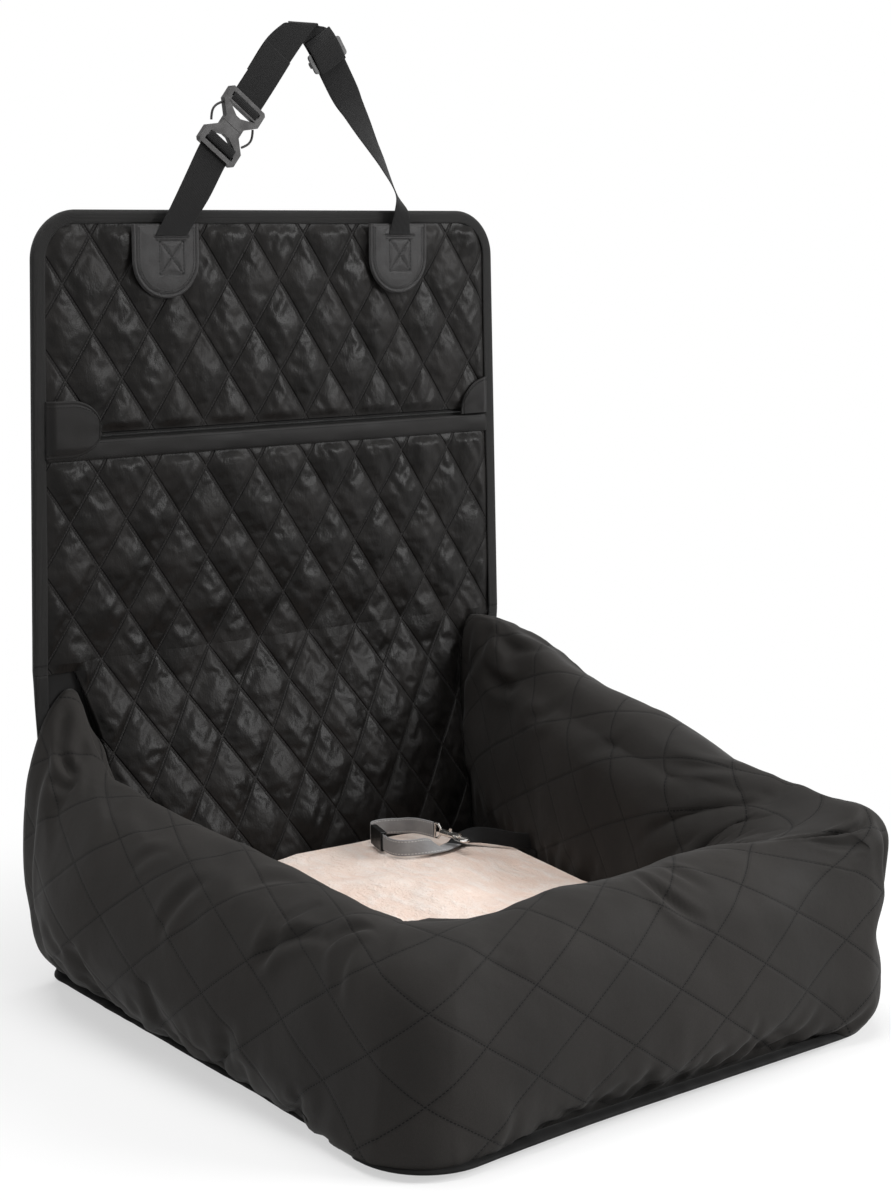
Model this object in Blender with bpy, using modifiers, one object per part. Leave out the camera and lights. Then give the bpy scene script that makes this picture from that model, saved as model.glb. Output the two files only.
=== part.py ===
"""A dog car seat: a padded tub with a plush cushion, and a quilted back panel on a headrest strap.

X is the seat's width, Y runs from its front (-Y) to its back (+Y), Z is up, and every size is in metres.
The origin is under the middle of the seat, on the surface that it stands on.
"""

import math

import bmesh
import bpy
import numpy as np
from mathutils import Matrix, Vector

# Fits
WELD_DISTANCE = 0.000001
TOUCH_GAP = 0.0003  # between pieces that touch
CUSHION_GAP = 0.004  # between the loose cushion and the bolsters round it
OVERRUN = 0.010  # how far a cutter runs past what it cuts
TUBE_SIDES = 12

# Base and its zip
BASE_WIDTH = 0.580
BASE_DEPTH = 0.628
BASE_FRONT_RADIUS = 0.055
BASE_BACK_RADIUS = 0.020
SHEET_THICKNESS = 0.0030
ZIP_TAPE_THICKNESS = 0.0012
ZIP_TAPE_WIDTH = 0.014
ZIP_COIL_RADIUS = 0.0015
ZIP_SLIDER_LENGTH = 0.012
ZIP_SLIDER_WALL = 0.0012
ZIP_PULL_LENGTH = 0.019
ZIP_PULL_WIDTH = 0.006
ZIP_PULL_THICKNESS = 0.0010
BASE_SLIDER_Y = 0.200

# Bolsters: the cover's wall, its bulges, and the heights of its crown
COVER_WALL = 0.0025
COVER_HEM_INSET = 0.006
STUFFING_GAP = 0.0008  # between a bolster's cover and the stuffing inside it
FRONT_BULGE = 0.012
SIDE_BULGE = 0.045
BOLSTER_FRONT_THICKNESS = 0.120
BOLSTER_BACK_THICKNESS = 0.050
FRONT_HEIGHT = 0.204
LEFT_BACK_HEIGHT = 0.310
RIGHT_BACK_HEIGHT = 0.328
WELL_CORNER_RADIUS = 0.050
EAR_HEIGHT = 0.026  # how far the pinched right front corner stands over the front crown
CORNER_PINCH = 0.062  # how far that corner's crown is drawn out over its rounded base
PINCH_REACH = 0.070
PINCH_INSET = 0.016
SIDE_STEPS = 9
CORNER_STEPS = 5
FRONT_STEPS = 8

# The bolster's section, from the outer hem over the crown to the inner hem: shares of the bulge,
# of the thickness, of the height and of the pinch
SECTION_SHARES = np.array([
    (0.00, 0.000, 0.00, 0.00), (0.70, 0.000, 0.13, 0.00), (1.00, 0.010, 0.32, 0.08),
    (0.98, 0.040, 0.54, 0.25), (0.78, 0.110, 0.74, 0.55), (0.45, 0.220, 0.90, 0.88),
    (0.15, 0.360, 0.985, 1.00), (0.00, 0.500, 1.00, 0.98), (0.00, 0.680, 0.95, 0.70),
    (0.00, 0.850, 0.80, 0.30), (0.00, 0.960, 0.58, 0.08), (0.00, 1.000, 0.34, 0.00),
    (0.00, 0.980, 0.00, 0.00),
])
# Along a side, from the back to the front corner: the place, how far the crown has come up from
# the front's height towards the back's, the thickness between back and front, and the bulge
LEFT_SIDE_SHARES = np.array([
    (0.00, 1.00, 0.00, 0.85), (0.06, 0.52, 0.03, 1.02), (0.13, 0.36, 0.10, 1.12), (0.30, 0.18, 0.38, 1.12),
    (0.55, 0.07, 0.76, 0.88), (0.75, -0.02, 0.95, 0.62), (1.00, -0.10, 1.00, 0.42),
])
RIGHT_SIDE_SHARES = np.array([
    (0.00, 1.00, 0.00, 0.60), (0.09, 1.04, 0.05, 0.92), (0.22, 0.94, 0.22, 1.02), (0.40, 0.765, 0.55, 0.98),
    (0.62, 0.565, 0.85, 0.80), (0.84, 0.40, 1.00, 0.62), (1.00, 0.26, 1.00, 0.46),
])
# Along the front, from left to right: the place and the rise over the front's height
FRONT_RISE_SHARES = np.array([(0.0, -0.20), (0.25, 0.0), (0.7, 0.10), (1.0, 0.40)])

# Cushion in the tub's well
CUSHION_EDGE_HEIGHT = 0.094
CUSHION_CROWN = 0.024
CUSHION_ROUNDING = 0.016
CUSHION_BACK_GAP = 0.006
CUSHION_WALL = 0.003
UNDERSIDE_THICKNESS = 0.001
CUSHION_POINTS = 48
CUSHION_RINGS = 7
CUSHION_RIPPLE = 0.0035

# Back panel: heights, and its layers as distances in front of the seat's back plane
PANEL_WIDTH = 0.587
FOLD_WIDTH = 0.614  # the panel's width at its fold: its sides lean out on the way down
PANEL_TOP = 0.803
PANEL_RADIUS = 0.050
FOLD_HEIGHT = 0.335
FOLD_RELIEF = 0.0045
TONGUE_THICKNESS = 0.0010
TONGUE_LENGTH = 0.012
BINDING_LEG = 0.014
BINDING_DEPTH = 0.0090
BINDING_WALL = 0.0010
LINER_THICKNESS = 0.0020
QUILT_EDGE = 0.0040
QUILT_LOW = 0.0050
QUILT_PUFF = 0.0055
QUILT_PITCH_X = 0.0652
QUILT_PITCH_Z = 0.0975
STEPS_PER_PITCH = 4

# Pocket and its zip
POCKET_TOP = 0.5695
POCKET_BINDING_HEIGHT = 0.020
POCKET_BINDING_THICKNESS = 0.0012
POCKET_LAYER_LIFT = 0.0017
POCKET_COIL_RADIUS = 0.0012
POCKET_ZIP_LIFT = 0.0035
POCKET_SLIDER_HEIGHT = 0.006
POCKET_SLIDER_FRONT = 0.0100
POCKET_ZIP_END = 0.012
POCKET_PARK = 0.028
TAB_LEFT_WIDTH = 0.055
TAB_RIGHT_WIDTH = 0.034
TAB_RISE = 0.0435  # how far the zip's tabs stand over the pocket's top
TAB_THICKNESS = 0.0010

# Back roll, from the floor of the tub up to the fold: height share, then thickness and half width
ROLL_DEPTH = 0.062
ROLL_HALF_WIDTH = 0.2325
ROLL_SHARES = np.array([
    (0.00, 0.80, 1.00), (0.16, 1.00, 1.00), (0.36, 0.96, 1.00), (0.56, 0.70, 1.00),
    (0.75, 0.42, 1.02), (0.90, 0.20, 1.07), (1.00, 0.09, 1.12),
])
ROLL_COLUMNS = 28
ROLL_ROWS = 13
ROLL_WALL = 0.004

# Anchor patches and the headrest strap
PATCH_LEFT_X = -0.1450
PATCH_RIGHT_X = 0.1545
PATCH_WIDTH = 0.080
PATCH_HEIGHT = 0.077
PATCH_THICKNESS = 0.0022
WEBBING_WIDTH = 0.038
WEBBING_THICKNESS = 0.0014
STRAP_FOOT_DROP = 0.026  # from the panel's top down to the strap's ends
STRAP_FOOT_LEFT = -0.1395
STRAP_FOOT_RIGHT = 0.1555
STRAP_RISE = 0.197  # from the panel's top up to the strap's top
STRAP_FOLD_X = 0.0325
FOLD_RADIUS = 0.0045
LEG_TOP_X = 0.0205
LEG_ANGLE = math.radians(52.5)
LEG_BEND = 0.040  # how far below the top the left leg starts to bend over
RIGHT_LEG_ANGLE = math.radians(58.0)
RIGHT_LEG_TOP_X = 0.054
RIGHT_LEG_TOP_DROP = 0.015
RIGHT_LEG_LENGTH = 0.156
# Down the right leg: shares of its length, then how far it is twisted in degrees and its width share
RIGHT_TWIST_SHARES = np.array([
    (0.03, 0.0, 1.0), (0.40, 0.0, 1.0), (0.55, 14.0, 1.0),
    (0.70, 24.0, 0.97), (0.86, 36.0, 0.90), (1.00, 44.0, 0.80),
])

# Side-release buckle, with its length along the strap
BUCKLE_FROM_APEX = 0.1045
BUCKLE_LENGTH = 0.0713
BUCKLE_WIDTH = 0.051
BUCKLE_THICKNESS = 0.0074
BUCKLE_WAIST = 0.013
BUCKLE_BAR = 0.0052
BUCKLE_SLOT = 0.0048
BUCKLE_RAIL = 0.0060
BUCKLE_THROAT = 0.0120
TONGUE_WIDTH = 0.0110
TONGUE_HEIGHT = 0.0026
TONGUE_REACH = 0.0095
RUNNING_GAP = 0.0004
PLUG_TRAVEL = 0.020
PLUG_STRAP_LENGTH = 0.064
PRESS_ARM_RADIUS = 0.0013
PRESS_ARM_BULGE = 0.0050

# Strap adjuster
GLIDE_WIDTH = 0.048
GLIDE_LENGTH = 0.022
GLIDE_BAR = 0.0032
GLIDE_PLATE = 0.0024
GLIDE_FROM_TOP = 0.020

# Tether: webbing on edge over the cushion, its slider, swivel eye and bolt snap
TETHER_WIDTH = 0.018
TETHER_THICKNESS = 0.0014
TETHER_LIFT = 0.0026
TETHER_FLAT_LIFT = 0.0010
TETHER_STATIONS = 44
TETHER_SLIDER_LENGTH = 0.040
TETHER_SLIDER_WALL = 0.0016
EYE_WIRE = 0.0014
BARREL_LENGTH = 0.0260
BARREL_RADIUS = 0.0038
HOOK_WIRE = 0.0019
HOOK_REACH = 0.0095
HOOK_LENGTH = 0.0150
HOOK_AXIS_LIFT = 0.0155
BOLT_RADIUS = 0.0015
BOLT_TRAVEL = 0.006
BOLT_INSIDE = 0.015
KNOB_RADIUS = 0.0018
KNOB_HEIGHT = 0.0030
# The tether's route over the cushion, chosen by hand: x, y and how far the webbing lies over,
# where 0 stands on its edge and 1 lies flat
TETHER_ROUTE = np.array([
    (0.1960, 0.1170, 0.00), (0.1780, 0.1240, 0.00), (0.1600, 0.1400, 0.15), (0.1430, 0.1460, 0.30),
    (0.1210, 0.1460, 0.75), (0.1040, 0.1370, 1.00), (0.0810, 0.1240, 1.00), (0.0580, 0.1170, 0.45),
    (0.0370, 0.1180, 0.05), (0.0220, 0.1290, 0.00), (0.0210, 0.1490, 0.00), (0.0310, 0.1780, 0.00),
    (0.0420, 0.2060, 0.00), (0.0540, 0.2225, 0.00), (0.0720, 0.2245, 0.00), (0.0850, 0.2110, 0.00),
    (0.0885, 0.1900, 0.00), (0.0885, 0.1540, 0.00),
])
HOOK_DIRECTION = Vector((0.19, -0.97, -0.03)).normalized()

# Places worked out from the sizes above
STRAP_FOOT_HEIGHT = PANEL_TOP - STRAP_FOOT_DROP
STRAP_TOP = PANEL_TOP + STRAP_RISE
TAB_TOP = POCKET_TOP + TAB_RISE
BACK_Y = (BASE_DEPTH + FRONT_BULGE) / 2
FRONT_Y = BACK_Y - BASE_DEPTH
HALF_BASE = BASE_WIDTH / 2
HALF_PANEL = PANEL_WIDTH / 2
HALF_FOLD = FOLD_WIDTH / 2
COIL_INSET = ZIP_COIL_RADIUS + TOUCH_GAP
SHEET_INSET = COIL_INSET + ZIP_COIL_RADIUS + TOUCH_GAP
TAPE_Z = SHEET_THICKNESS + TOUCH_GAP
COIL_Z = TAPE_Z + ZIP_TAPE_THICKNESS / 2
HEM_Z = COIL_Z + ZIP_COIL_RADIUS + TOUCH_GAP
FLOOR_Z = SHEET_THICKNESS + TOUCH_GAP
LINER_BACK = BINDING_WALL + TOUCH_GAP
LINER_FRONT = LINER_BACK + LINER_THICKNESS
QUILT_BACK = LINER_FRONT + TOUCH_GAP
WALL_FRONT_Y = BACK_Y - QUILT_BACK
WALL_BINDING_DEPTH = LINER_FRONT + TOUCH_GAP + BINDING_WALL
BOLSTER_BACK_Y = BACK_Y - WALL_BINDING_DEPTH - TOUCH_GAP
HINGE_Y = BACK_Y - LINER_BACK - LINER_THICKNESS / 2
TONGUE_GAP = TONGUE_THICKNESS / 2 + TOUCH_GAP
ZIP_Z = POCKET_TOP + POCKET_ZIP_LIFT
POCKET_BACK = QUILT_BACK + POCKET_LAYER_LIFT
POCKET_EDGE_FRONT = BINDING_DEPTH - BINDING_WALL - TOUCH_GAP
QUILT_TOP_DEPTH = QUILT_BACK + QUILT_LOW + QUILT_PUFF
PATCH_BACK_Y = BACK_Y - QUILT_TOP_DEPTH - TOUCH_GAP
STRAP_Y = PATCH_BACK_Y - PATCH_THICKNESS - TOUCH_GAP - WEBBING_THICKNESS / 2
LAYER_Y = STRAP_Y + WEBBING_THICKNESS + TOUCH_GAP
STRAP_BACK_Y = LAYER_Y + 2 * FOLD_RADIUS

COLOURS = {
    "quilted_satin": ((0.020, 0.019, 0.019), 0.45, 0.0),
    "bolster_cloth": ((0.028, 0.027, 0.026), 0.75, 0.0),
    "base_cloth": ((0.012, 0.012, 0.012), 0.85, 0.0),
    "binding_tape": ((0.014, 0.014, 0.014), 0.80, 0.0),
    "webbing": ((0.010, 0.010, 0.010), 0.80, 0.0),
    "tether_webbing": ((0.110, 0.110, 0.115), 0.70, 0.0),
    "leatherette": ((0.060, 0.060, 0.062), 0.50, 0.0),
    "buckle_plastic": ((0.060, 0.058, 0.060), 0.35, 0.0),
    "black_plastic": ((0.012, 0.012, 0.012), 0.40, 0.0),
    "zip_nylon": ((0.018, 0.018, 0.018), 0.50, 0.0),
    "nickel": ((0.720, 0.710, 0.690), 0.18, 1.0),
    "plush": ((0.820, 0.610, 0.500), 0.95, 0.0),
    "filling": ((0.800, 0.800, 0.780), 0.90, 0.0),
    "foam": ((0.750, 0.720, 0.600), 0.90, 0.0),
}


# Scene and object helpers


def clear_scene():
    for ob in list(bpy.data.objects):
        bpy.data.objects.remove(ob, do_unlink=True)


def collection(name):
    found = bpy.data.collections.get(name) or bpy.data.collections.new(name)
    if found.name not in bpy.context.scene.collection.children:
        bpy.context.scene.collection.children.link(found)
    return found


def material_for(node, finish):
    colour, roughness, metallic = COLOURS[finish]
    material = bpy.data.materials.new(f"{node}_{finish}")
    material.use_nodes = True
    shader = material.node_tree.nodes["Principled BSDF"]
    shader.inputs["Base Color"].default_value = (*colour, 1.0)
    shader.inputs["Roughness"].default_value = roughness
    shader.inputs["Metallic"].default_value = metallic
    return material


def mesh_object(name, mesh, finish=None, place=None):
    """An object of a mesh: a part with its own material, or a hidden cutter where finish is None."""
    ob = bpy.data.objects.new(name, mesh)
    if finish:
        collection("dog_car_seat").objects.link(ob)
        ob.data.materials.clear()
        ob.data.materials.append(material_for(name, finish))
    else:
        collection("cutters").objects.link(ob)
        ob.hide_render = True
        ob.display_type = "WIRE"
    if place is not None:
        ob.matrix_world = place
    return ob


def mesh_from(name, verts, faces):
    """A closed mesh of points and faces, with its faces turned outwards."""
    mesh = bpy.data.meshes.new(name)
    mesh.from_pydata([tuple(v) for v in verts], [], faces)
    bm = bmesh.new()
    bm.from_mesh(mesh)
    bmesh.ops.recalc_face_normals(bm, faces=bm.faces)
    bm.to_mesh(mesh)
    bm.free()
    return mesh


def smooth(ob, angle=math.radians(40)):
    ob.data.shade_smooth()
    ob.data.set_sharp_from_angle(angle=angle)
    return ob


def is_flat(a, b, c, d):
    normal = np.cross(c - a, d - b)
    return abs(np.dot(normal, b - a)) <= 1e-5 * np.linalg.norm(normal) * np.linalg.norm(c - a)


def lofted(name, rings, finish=None, tip=None, turned=()):
    """A solid through rings of points of one count, with flat ends, or its last ring closed to a tip.

    Sides that aren't flat are split the same way all over, so that two lofts of like form fit each other.
    The turned sides are split the other way: a thin strap's two faces then stay parallel where it twists."""
    rings = np.asarray(rings, float)
    count, points = rings.shape[:2]
    faces = []
    for i in range(count - 1):
        a, b = i * points, (i + 1) * points
        for j in range(points):
            k = (j + 1) % points
            if is_flat(rings[i, j], rings[i, k], rings[i + 1, k], rings[i + 1, j]):
                faces.append((a + j, a + k, b + k, b + j))
            elif j in turned:
                faces += [(a + j, a + k, b + j), (a + k, b + k, b + j)]
            else:
                faces += [(a + j, a + k, b + k), (a + j, b + k, b + j)]
    faces.append(tuple(range(points)))
    last = (count - 1) * points
    verts = list(rings.reshape(-1, 3))
    if tip is None:
        faces.append(tuple(range(last, last + points)))
    else:
        verts.append(tip)
        faces += [(last + j, last + (j + 1) % points, last + points) for j in range(points)]
    return mesh_object(name, mesh_from(name, verts, faces), finish)


def curve_mesh(name, curve):
    """The mesh that a curve object makes, with its loose caps welded on."""
    ob = bpy.data.objects.new(name, curve)
    bpy.context.scene.collection.objects.link(ob)
    bpy.context.view_layer.update()
    mesh = bpy.data.meshes.new_from_object(ob.evaluated_get(bpy.context.evaluated_depsgraph_get()))
    bpy.data.objects.remove(ob, do_unlink=True)
    bm = bmesh.new()
    bm.from_mesh(mesh)
    bmesh.ops.remove_doubles(bm, verts=bm.verts, dist=WELD_DISTANCE)
    bmesh.ops.recalc_face_normals(bm, faces=bm.faces)
    bm.to_mesh(mesh)
    bm.free()
    return mesh


def plate(name, outlines, thickness, finish=None, place=None):
    """A flat plate in its own XY plane, from an outline and any holes in it, centred on that plane."""
    curve = bpy.data.curves.new(name, "CURVE")
    curve.dimensions = "2D"
    curve.fill_mode = "BOTH"
    curve.extrude = thickness / 2
    for outline in outlines:
        spline = curve.splines.new("POLY")
        spline.points.add(len(outline) - 1)
        for point, (x, y) in zip(spline.points, outline):
            point.co = (x, y, 0, 1)
        spline.use_cyclic_u = True
    return mesh_object(name, curve_mesh(name, curve), finish, place)


def tube(name, points, radius, finish=None, cyclic=False, place=None):
    """A round tube along points, with filled ends unless it closes on itself."""
    curve = bpy.data.curves.new(name, "CURVE")
    curve.dimensions = "3D"
    curve.bevel_depth = radius
    curve.bevel_resolution = 2
    curve.use_fill_caps = not cyclic
    spline = curve.splines.new("POLY")
    spline.points.add(len(points) - 1)
    for point, co in zip(spline.points, points):
        point.co = (*co, 1)
    spline.use_cyclic_u = cyclic
    return smooth(mesh_object(name, curve_mesh(name, curve), finish, place))


def box(name, low, high, finish=None, place=None):
    low, high = Vector(low), Vector(high)
    bm = bmesh.new()
    bmesh.ops.create_cube(bm, size=1.0)
    bmesh.ops.scale(bm, vec=high - low, verts=bm.verts)
    bmesh.ops.translate(bm, vec=(high + low) / 2, verts=bm.verts)
    mesh = bpy.data.meshes.new(name)
    bm.to_mesh(mesh)
    bm.free()
    return mesh_object(name, mesh, finish, place)


def cylinder(name, start, end, radius, finish=None, place=None):
    """A cylinder between two points."""
    start, end = Vector(start), Vector(end)
    bm = bmesh.new()
    bmesh.ops.create_cone(bm, cap_ends=True, segments=TUBE_SIDES, radius1=radius, radius2=radius,
                          depth=(end - start).length)
    turn = (end - start).to_track_quat("Z", "Y").to_matrix().to_4x4()
    bmesh.ops.transform(bm, matrix=Matrix.Translation((start + end) / 2) @ turn, verts=bm.verts)
    mesh = bpy.data.meshes.new(name)
    bm.to_mesh(mesh)
    bm.free()
    return smooth(mesh_object(name, mesh, finish, place))


def combine(ob, others, operation):
    """Joins other solids to an object, cuts them out of it, or keeps what they share."""
    for other in others:
        step = ob.modifiers.new(operation.lower(), "BOOLEAN")
        step.operation = operation
        step.solver = "EXACT"
        step.object = other
    return ob


def soften(ob, width, segments=1):
    step = ob.modifiers.new("rounding", "BEVEL")
    step.width = width
    step.segments = segments
    step.limit_method = "ANGLE"
    step.angle_limit = math.radians(50)
    return ob


def axis_empty(name, position):
    """An empty on a joint's axis, which the pieces that move about it hang from."""
    empty = bpy.data.objects.new(name, None)
    empty.empty_display_size = CUSHION_ROUNDING
    empty.location = position
    collection("dog_car_seat").objects.link(empty)
    return empty


def hang(empty, pieces):
    """Parents pieces to an empty and moves each piece's origin onto the joint's axis."""
    shift = Matrix.Translation(empty.location)
    for piece in pieces:
        turn = piece.matrix_world.copy()
        piece.data.transform(shift.inverted() @ turn)
        piece.parent = empty
        piece.matrix_parent_inverse = Matrix.Identity(4)
        piece.location = (0, 0, 0)
        piece.rotation_euler = (0, 0, 0)


# Outlines and frames


def arc(centre, radius, start, end, steps):
    angles = np.linspace(start, end, steps + 1)
    return np.column_stack([centre[0] + radius * np.cos(angles), centre[1] + radius * np.sin(angles)])


def rounded(x0, x1, y0, y1, radii, steps=6):
    """A rectangle with round corners, counterclockwise from the lower left; radii go the same way."""
    corners = ((x0, y0, 1, 1, math.pi), (x1, y0, -1, 1, -math.pi / 2),
               (x1, y1, -1, -1, 0), (x0, y1, 1, -1, math.pi / 2))
    rows = []
    for (x, y, sx, sy, start), radius in zip(corners, radii):
        if radius > 0:
            rows.append(arc((x + sx * radius, y + sy * radius), radius, start, start + math.pi / 2, steps))
        else:
            rows.append(np.array([(x, y)]))
    return np.concatenate(rows)


def base_outline(inset):
    front, back = BASE_FRONT_RADIUS - inset, BASE_BACK_RADIUS - inset
    return rounded(-HALF_BASE + inset, HALF_BASE - inset, FRONT_Y + inset, BACK_Y - inset,
                   (front, front, back, back))


def leg_frame(x, z, y, angle):
    """A strap's own frame: Y along the leg at that angle, X across it, Z out to the front."""
    along = Vector((math.cos(angle), 0, math.sin(angle)))
    across = Vector((math.sin(angle), 0, -math.cos(angle)))
    out = Vector((0, -1, 0))
    turn = Matrix((across, along, out)).transposed().to_4x4()
    return Matrix.Translation((x, y, z)) @ turn


def upright(x, y, z):
    """A plate's frame that stands up: X stays, the plate's Y is world Z, its Z faces the front."""
    return Matrix.Translation((x, y, z)) @ Matrix.Rotation(math.pi / 2, 4, "X")


def ribbon(name, stations, thickness, finish):
    """A strap through stations of centre, half width vector and face normal, of one thickness."""
    rings = []
    for centre, half, normal in stations:
        centre, half = Vector(centre), Vector(half)
        lift = Vector(normal).normalized() * thickness / 2
        rings.append([centre - half - lift, centre + half - lift,
                      centre + half + lift, centre - half + lift])
    return lofted(name, rings, finish, turned=(2,))


# Base


def make_base():
    sheet = base_outline(SHEET_INSET)
    plate("base_sheet", [sheet], SHEET_THICKNESS, "base_cloth",
          Matrix.Translation((0, 0, SHEET_THICKNESS / 2)))
    plate("base_zip_tape", [sheet, base_outline(SHEET_INSET + ZIP_TAPE_WIDTH)],
          ZIP_TAPE_THICKNESS, "binding_tape", Matrix.Translation((0, 0, COIL_Z)))
    ring = [(x, y, COIL_Z) for x, y in base_outline(COIL_INSET)]
    tube("base_zip_coil", ring, ZIP_COIL_RADIUS, "zip_nylon", cyclic=True)


def make_base_slider():
    outer = HALF_BASE + ZIP_SLIDER_WALL
    inner = HALF_BASE - SHEET_INSET + TOUCH_GAP
    reach = ZIP_COIL_RADIUS + TOUCH_GAP
    low, high = COIL_Z - reach - ZIP_SLIDER_WALL, COIL_Z + reach + ZIP_SLIDER_WALL
    y0, y1 = BASE_SLIDER_Y - ZIP_SLIDER_LENGTH / 2, BASE_SLIDER_Y + ZIP_SLIDER_LENGTH / 2
    slider = box("base_zip_slider", (inner, y0, low), (outer, y1, high), "nickel")
    groove = box("cut_base_slider", (inner - OVERRUN, y0 - OVERRUN, COIL_Z - reach),
                 (HALF_BASE, y1 + OVERRUN, COIL_Z + reach))
    combine(slider, [groove], "DIFFERENCE")
    start = outer + TOUCH_GAP
    half_wide, half_thick = ZIP_PULL_WIDTH / 2, ZIP_PULL_THICKNESS / 2
    pull = box("base_zip_pull", (start, BASE_SLIDER_Y - half_wide, COIL_Z - half_thick),
               (start + ZIP_PULL_LENGTH, BASE_SLIDER_Y + half_wide, COIL_Z + half_thick), "nickel")
    hang(axis_empty("base_slider_axis", (HALF_BASE, BASE_SLIDER_Y, COIL_Z)), [slider])
    hang(axis_empty("base_pull_axis", (start, BASE_SLIDER_Y, COIL_Z)), [pull])


# Bolsters


def side_values(table, share, back_height):
    """The crown height, thickness and bulge at a share of a side's run from back to front."""
    rise = np.interp(share, table[:, 0], table[:, 1])
    thick = np.interp(share, table[:, 0], table[:, 2])
    bulge = np.interp(share, table[:, 0], table[:, 3])
    height = FRONT_HEIGHT + rise * (back_height - FRONT_HEIGHT)
    thickness = BOLSTER_BACK_THICKNESS + thick * (BOLSTER_FRONT_THICKNESS - BOLSTER_BACK_THICKNESS)
    return height, thickness, bulge * SIDE_BULGE


def bolster_stations():
    """Stations round the U from the back left to the back right.

    Each is the outer hem point, the inner hem point, the outward direction, the crown height and
    the bulge. The outer points follow the base, the inner ones the well."""
    out_r, in_r = BASE_FRONT_RADIUS, WELL_CORNER_RADIUS
    back = BOLSTER_BACK_Y
    out_front, in_front = FRONT_Y + out_r, FRONT_Y + BOLSTER_FRONT_THICKNESS + in_r
    well = HALF_BASE - BOLSTER_FRONT_THICKNESS
    left_bulge = LEFT_SIDE_SHARES[-1, 3] * SIDE_BULGE
    right_bulge = RIGHT_SIDE_SHARES[-1, 3] * SIDE_BULGE
    left_height = FRONT_HEIGHT + LEFT_SIDE_SHARES[-1, 1] * (LEFT_BACK_HEIGHT - FRONT_HEIGHT)
    right_height = FRONT_HEIGHT + RIGHT_SIDE_SHARES[-1, 1] * (RIGHT_BACK_HEIGHT - FRONT_HEIGHT)
    front_left, front_right = FRONT_HEIGHT + FRONT_RISE_SHARES[[0, -1], 1] * EAR_HEIGHT
    rows = []
    for i in range(SIDE_STEPS):
        share = i / SIDE_STEPS
        height, thickness, bulge = side_values(LEFT_SIDE_SHARES, share, LEFT_BACK_HEIGHT)
        outer = (-HALF_BASE, back + share * (out_front - back))
        inner = (-HALF_BASE + thickness, back + share * (in_front - back))
        rows.append((outer, inner, (-1, 0), height, bulge))
    for i in range(CORNER_STEPS):
        share = i / CORNER_STEPS
        turn = math.pi * (1 + share / 2)
        way = (math.cos(turn), math.sin(turn))
        outer = (-HALF_BASE + out_r + out_r * way[0], out_front + out_r * way[1])
        inner = (-well + in_r + in_r * way[0], in_front + in_r * way[1])
        height = left_height + share * (front_left - left_height)
        rows.append((outer, inner, way, height, left_bulge + share * (FRONT_BULGE - left_bulge)))
    for i in range(FRONT_STEPS):
        share = i / FRONT_STEPS
        rise = np.interp(share, FRONT_RISE_SHARES[:, 0], FRONT_RISE_SHARES[:, 1])
        outer = ((2 * share - 1) * (HALF_BASE - out_r), FRONT_Y)
        inner = ((2 * share - 1) * (well - in_r), FRONT_Y + BOLSTER_FRONT_THICKNESS)
        rows.append((outer, inner, (0, -1), FRONT_HEIGHT + rise * EAR_HEIGHT, FRONT_BULGE))
    for i in range(CORNER_STEPS):
        share = i / CORNER_STEPS
        turn = math.pi * (1.5 + share / 2)
        way = (math.cos(turn), math.sin(turn))
        outer = (HALF_BASE - out_r + out_r * way[0], out_front + out_r * way[1])
        inner = (well - in_r + in_r * way[0], in_front + in_r * way[1])
        height = front_right + share * (right_height - front_right)
        rows.append((outer, inner, way, height, FRONT_BULGE + share * (right_bulge - FRONT_BULGE)))
    for i in range(SIDE_STEPS + 1):
        share = 1 - i / SIDE_STEPS
        height, thickness, bulge = side_values(RIGHT_SIDE_SHARES, share, RIGHT_BACK_HEIGHT)
        outer = (HALF_BASE, back + share * (out_front - back))
        inner = (HALF_BASE - thickness, back + share * (in_front - back))
        rows.append((outer, inner, (1, 0), height, bulge))
    return rows


def bolster_ring(station, inset, drop=0.0):
    """The section's points at a station, drawn in by an inset, with its open hem lowered by drop."""
    outer, inner, way, height, bulge = station
    outer, way = np.array(outer), np.array(way)
    across = np.array(inner) - outer
    length = np.linalg.norm(across)
    inward = across / length
    out, thick, up, drawn = SECTION_SHARES.T
    tip = (HALF_BASE - PINCH_INSET, FRONT_Y + PINCH_INSET)
    pinch = CORNER_PINCH * math.exp(-(np.linalg.norm(outer - tip) / PINCH_REACH) ** 2)
    # in the section's plane: u runs inwards from the outer hem, v up
    hem = COVER_HEM_INSET * (1 - np.clip(up / SECTION_SHARES[1, 2], 0, 1)) * (thick < 0.5)
    u = thick * length - out * bulge + hem - drawn * pinch
    v = up * (height - HEM_Z)
    if inset:
        tangent = np.gradient(np.column_stack([u, v]), axis=0)
        tangent /= np.linalg.norm(tangent, axis=1, keepdims=True)
        u, v = u + inset * tangent[:, 1], v - inset * tangent[:, 0]
        v[[0, -1]] = 0.0
    v[[0, -1]] -= drop
    xy = outer + u[:, None] * inward
    return np.column_stack([xy, HEM_Z + v])


def shortened(rings, gap):
    """Rings whose first and last have been moved in along the seat by a gap."""
    rings = np.array(rings)
    for end, near in ((0, 1), (-1, -2)):
        run = (rings[end] - rings[near])[:, 1].mean()
        rings[end] += (rings[near] - rings[end]) * gap / run
    return rings


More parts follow.
